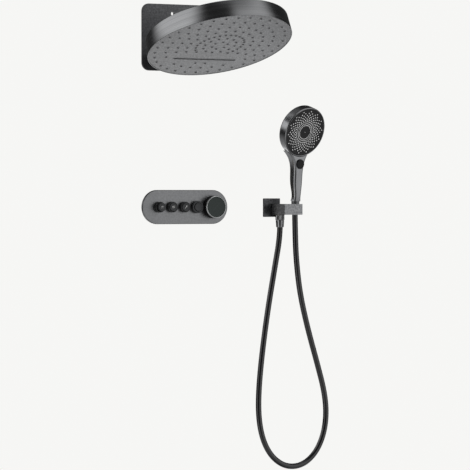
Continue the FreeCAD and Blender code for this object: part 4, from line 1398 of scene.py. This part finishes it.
    def build(self, finishes: Finishes) -> None:
        """Builds and dresses the panel.

        Args:
            finishes: The set's finishes.
        """
        for number, radius in enumerate(self.ring_radii, start=1):
            place = out_of_wall(joint_place(f"flow_{number}"))
            turning, pressed = f"flow_control_{number}", f"push_button_{number}"
            out = number == self.popped
            front = self.popped_front if out else self.latched_front
            build(f"grooved_ring_{number}", self.flow_ring(radius), place, finishes.ring, turning,
                  [f"flow_ring_{number}"])
            build(f"ring_flat_{number}", self.front_flat(radius), place, finishes.cap_face, turning)
            build(f"button_cap_{number}", self.push_cap(front), place, finishes.cap_face, pressed,
                  [f"push_cap_{number}"])
            mark = self.icon(Icon(number), front)
            if mark.points:
                build(f"button_mark_{number}", mark, place, finishes.mark, pressed)
            start, end = self.ring_back + 2.1, front - 1.9
            coil = build(f"button_spring_{number}", self.spring(start, end), place, finishes.steel,
                         turning, [f"push_spring_{number}"])
            if out:
                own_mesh(coil)
        place = out_of_wall(joint_place("temperature_turn"))
        body = "temperature_control"
        build("knob_grip", self.knob_body(), place, finishes.grip, body, ["temperature_knob"])
        build("knob_bright_ring", self.knob_chamfer(), place, finishes.bright, body)
        build("knob_front_disc", self.knob_face(), place, finishes.knob_face, body,
              ["temperature_knob_cap"])
        dress(finishes.plate, "panel_plate")
        dress(finishes.black, "stop_button", "temperature_stop_ring")
        dress(finishes.rubber, "panel_seal")
        dress(finishes.brass, "valve_body", "temperature_spindle")
        dress(finishes.inner, "outlet_cartridges", "temperature_cartridge")
        dress(finishes.steel, "valve_bracket", "valve_bracket_screws", "temperature_knob_screw")


# ------------------------------------------------------------------ hand shower
@dataclass
class HandShower:
    """The hand shower, its holder on the wall and the two hose nuts."""

    lean: float = 4.0
    swivel: float = 11.0
    pitch: float = 15.0
    radius: float = 63.0
    rim_width: float = 3.0
    rim_height: float = 5.0
    face_recess: float = 1.0
    dot_rings: Sequence[tuple[float, int]] = ((17.5, 36), (22.0, 44), (27.0, 54))
    spray_rings: Sequence[tuple[float, int]] = (
        (31.5, 28), (35.5, 28), (39.5, 28), (44.0, 28), (48.5, 28), (53.5, 14),
    )
    swirl: float = 360.0 / 56

    def disc_frame(self) -> Matrix:
        """The face's frame: its centre on the rim's front, +Z out of the back.

        Returns:
            The frame.
        """
        turn = tilted(Vector(), (self.lean, "X"), (self.swivel, "Z"), (self.pitch - 90.0, "X"))
        centre = middle_of("handset_rim") - (turn @ Vector((0, 0, self.rim_height / 2 * MM)))
        return Matrix.Translation(centre) @ turn

    def rim(self) -> Shape:
        """The ring round the face with a soft front edge.

        Returns:
            The mesh, in millimetres in its own frame.
        """
        outer, inner, high = self.radius, self.radius - self.rim_width, self.rim_height
        profile = [(inner, high), (inner, 0.9), (inner + 0.6, 0.15), (outer - 1.6, 0.0), (outer, 1.6),
                   (outer, high)]
        return lathe(softened(profile, 0.6, closed=True), 200, closed=True)

    def face(self) -> Shape:
        """The black face: a dished middle with a boss, and fine steps between the spray rings.

        Returns:
            The mesh, in millimetres in its own frame.
        """
        outer = self.radius - self.rim_width - 0.1
        front = self.face_recess
        profile = [(0.2, front + 2.5), (outer, front + 2.5), (outer, front + 0.3), (outer - 0.5, front),
                   (outer - 4.2, front), (outer - 4.6, front + 0.25), (29.6, front + 0.25), (29.2, front),
                   (28.7, front), (28.3, front + 0.3), (16.6, front + 0.3), (16.2, front - 0.05),
                   (15.3, front - 0.05), (14.8, front + 0.5), (8.0, front + 0.7), (2.2, front + 0.8),
                   (1.8, front + 0.35), (0.2, front + 0.3)]
        return lathe(softened(profile, 0.3, 3), 180)

    def sprays(self) -> Shape:
        """Pale spray nozzles in swirled rings and three rings of fine dots.

        Returns:
            The mesh, in millimetres in its own frame.
        """
        front = self.face_recess
        nozzle = lathe([(1.5, front + 1.0), (1.5, front - 0.15), (1.25, front - 0.45), (0.6, front - 0.55),
                        (0.3, front - 0.4)], 12)
        dot = lathe([(1.2, front + 0.6), (1.2, front + 0.05), (0.95, front - 0.2), (0.2, front - 0.3)], 8)
        shape = Shape()
        for index, (radius, count) in enumerate(self.spray_rings):
            shape.add(scattered(nozzle, on_circle(count, radius, 90.0 + index * self.swirl)))
        for radius, count in self.dot_rings:
            shape.add(scattered(dot, on_circle(count, radius)))
        middle = [(0.9, front + 0.6), (0.9, front + 0.1), (0.5, front - 0.05), (0.2, front - 0.1)]
        shape.add(lathe(middle, 16))
        return shape

    def mode_button(self) -> Shape:
        """A round push button with a soft edge and a shallow dish.

        Returns:
            The mesh, in millimetres in its own frame.
        """
        profile = [(0.3, 0.0), (11.8, 0.0), (12.0, 0.2), (12.0, 3.9), (11.0, 4.9), (10.0, 5.0), (9.2, 4.6),
                   (5.0, 4.3), (0.3, 4.2)]
        return lathe(softened(profile, 0.5, 3), 96)

    def wall_nut(self, length: float) -> Shape:
        """The tapered nut under the holder: a grooved collar over a smooth cone.

        Args:
            length: The nut's length.

        Returns:
            The mesh, in millimetres in its own frame.
        """
        profile = [(7.1, 0.0), (10.9, 0.0), (11.2, -0.4), (11.2, -1.4), (11.2, -1.6), (11.2, -11.4),
                   (11.2, -12.4), (10.9, -13.0), (10.3, -13.3), (10.3, -13.9), (10.5, -14.4),
                   (9.4, -length + 1.0),
                   (9.0, -length), (7.1, -length)]
        wave = knurl(11.2, -11.9, -1.5, 14, 1.2)
        return lathe(softened(profile, 0.4, 3, closed=True), 288, closed=True, wave=wave)

    def handset_nut(self) -> Shape:
        """The cone that sits in the holder with its grooved collar above.

        Returns:
            The mesh, in millimetres in its own frame.
        """
        collar, start = 6.3, 0.6
        profile = [(7.1, start + collar), (9.9, start + collar), (10.2, start + collar - 0.4),
                   (10.2, start + 4.6), (9.3, start + 4.3), (9.3, start + 3.4), (10.2, start + 3.1),
                   (10.2, start + 0.6), (9.9, start), (9.0, start), (8.1, start - 25.6),
                   (7.8, start - 26.0), (7.1, start - 26.0)]
        return lathe(softened(profile, 0.3, 3, closed=True), 96, closed=True)

    def build(self, finishes: Finishes) -> None:
        """Builds and dresses the hand shower.

        Args:
            finishes: The set's finishes.
        """
        disc = self.disc_frame()
        build("handset_front_rim", self.rim(), disc, finishes.band, "handset", ["handset_rim"])
        build("spray_face", self.face(), disc, finishes.black, "handset", ["handset_face"])
        build("spray_nozzles", self.sprays(), disc, finishes.spray, "handset",
              ["handset_nozzles"])
        turn = tilted(Vector(), (self.lean, "X"), (self.swivel, "Z"), (90.0, "X"))
        button = middle_of("mode_button") - (turn @ Vector((0, 0, 2.5 * MM)))
        build("mode_push_button", self.mode_button(), Matrix.Translation(button) @ turn, finishes.button,
              "mode_button", ["mode_button"])
        cone = tilted(joint_place("handset_swivel"), (self.lean, "X"))
        build("hose_nut_at_handset", self.handset_nut(), cone, finishes.turned, "hose_end",
              ["handset_hose_nut"])
        low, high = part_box("wall_hose_nut")
        top = Vector(((low.x + high.x) / 2, (low.y + high.y) / 2, high.z))
        build("hose_nut_at_wall", self.wall_nut((high.z - low.z) / MM), Matrix.Translation(top),
              finishes.band, "root", ["wall_hose_nut"])
        dress(finishes.handle, "handset_shell")
        # Painted shade: the holder's wall plate takes the darker copy of the gunmetal.
        dress(finishes.wall_plate, "holder_wall_plate")
        dress(finishes.block, "holder_block")
        dress(finishes.inner, "handset_waterway", "holder_liner")
        dress(finishes.rubber, "wall_hose_washer", "handset_hose_washer")
        dress(finishes.brass, "holder_inlet_nipple", "holder_outlet_nipple")
        dress(finishes.steel, "holder_grub_screw")


def main() -> None:
    """Builds the studio and every group of the set."""
    finishes = Finishes()
    Studio().build()
    HandShower().build(finishes)
    Hose().build(finishes)
    OverheadShower().build(finishes)
    ControlPanel().build(finishes)
    bpy.context.view_layer.update()
    log.info("all pieces built")


if __name__ == "__main__":
    main()
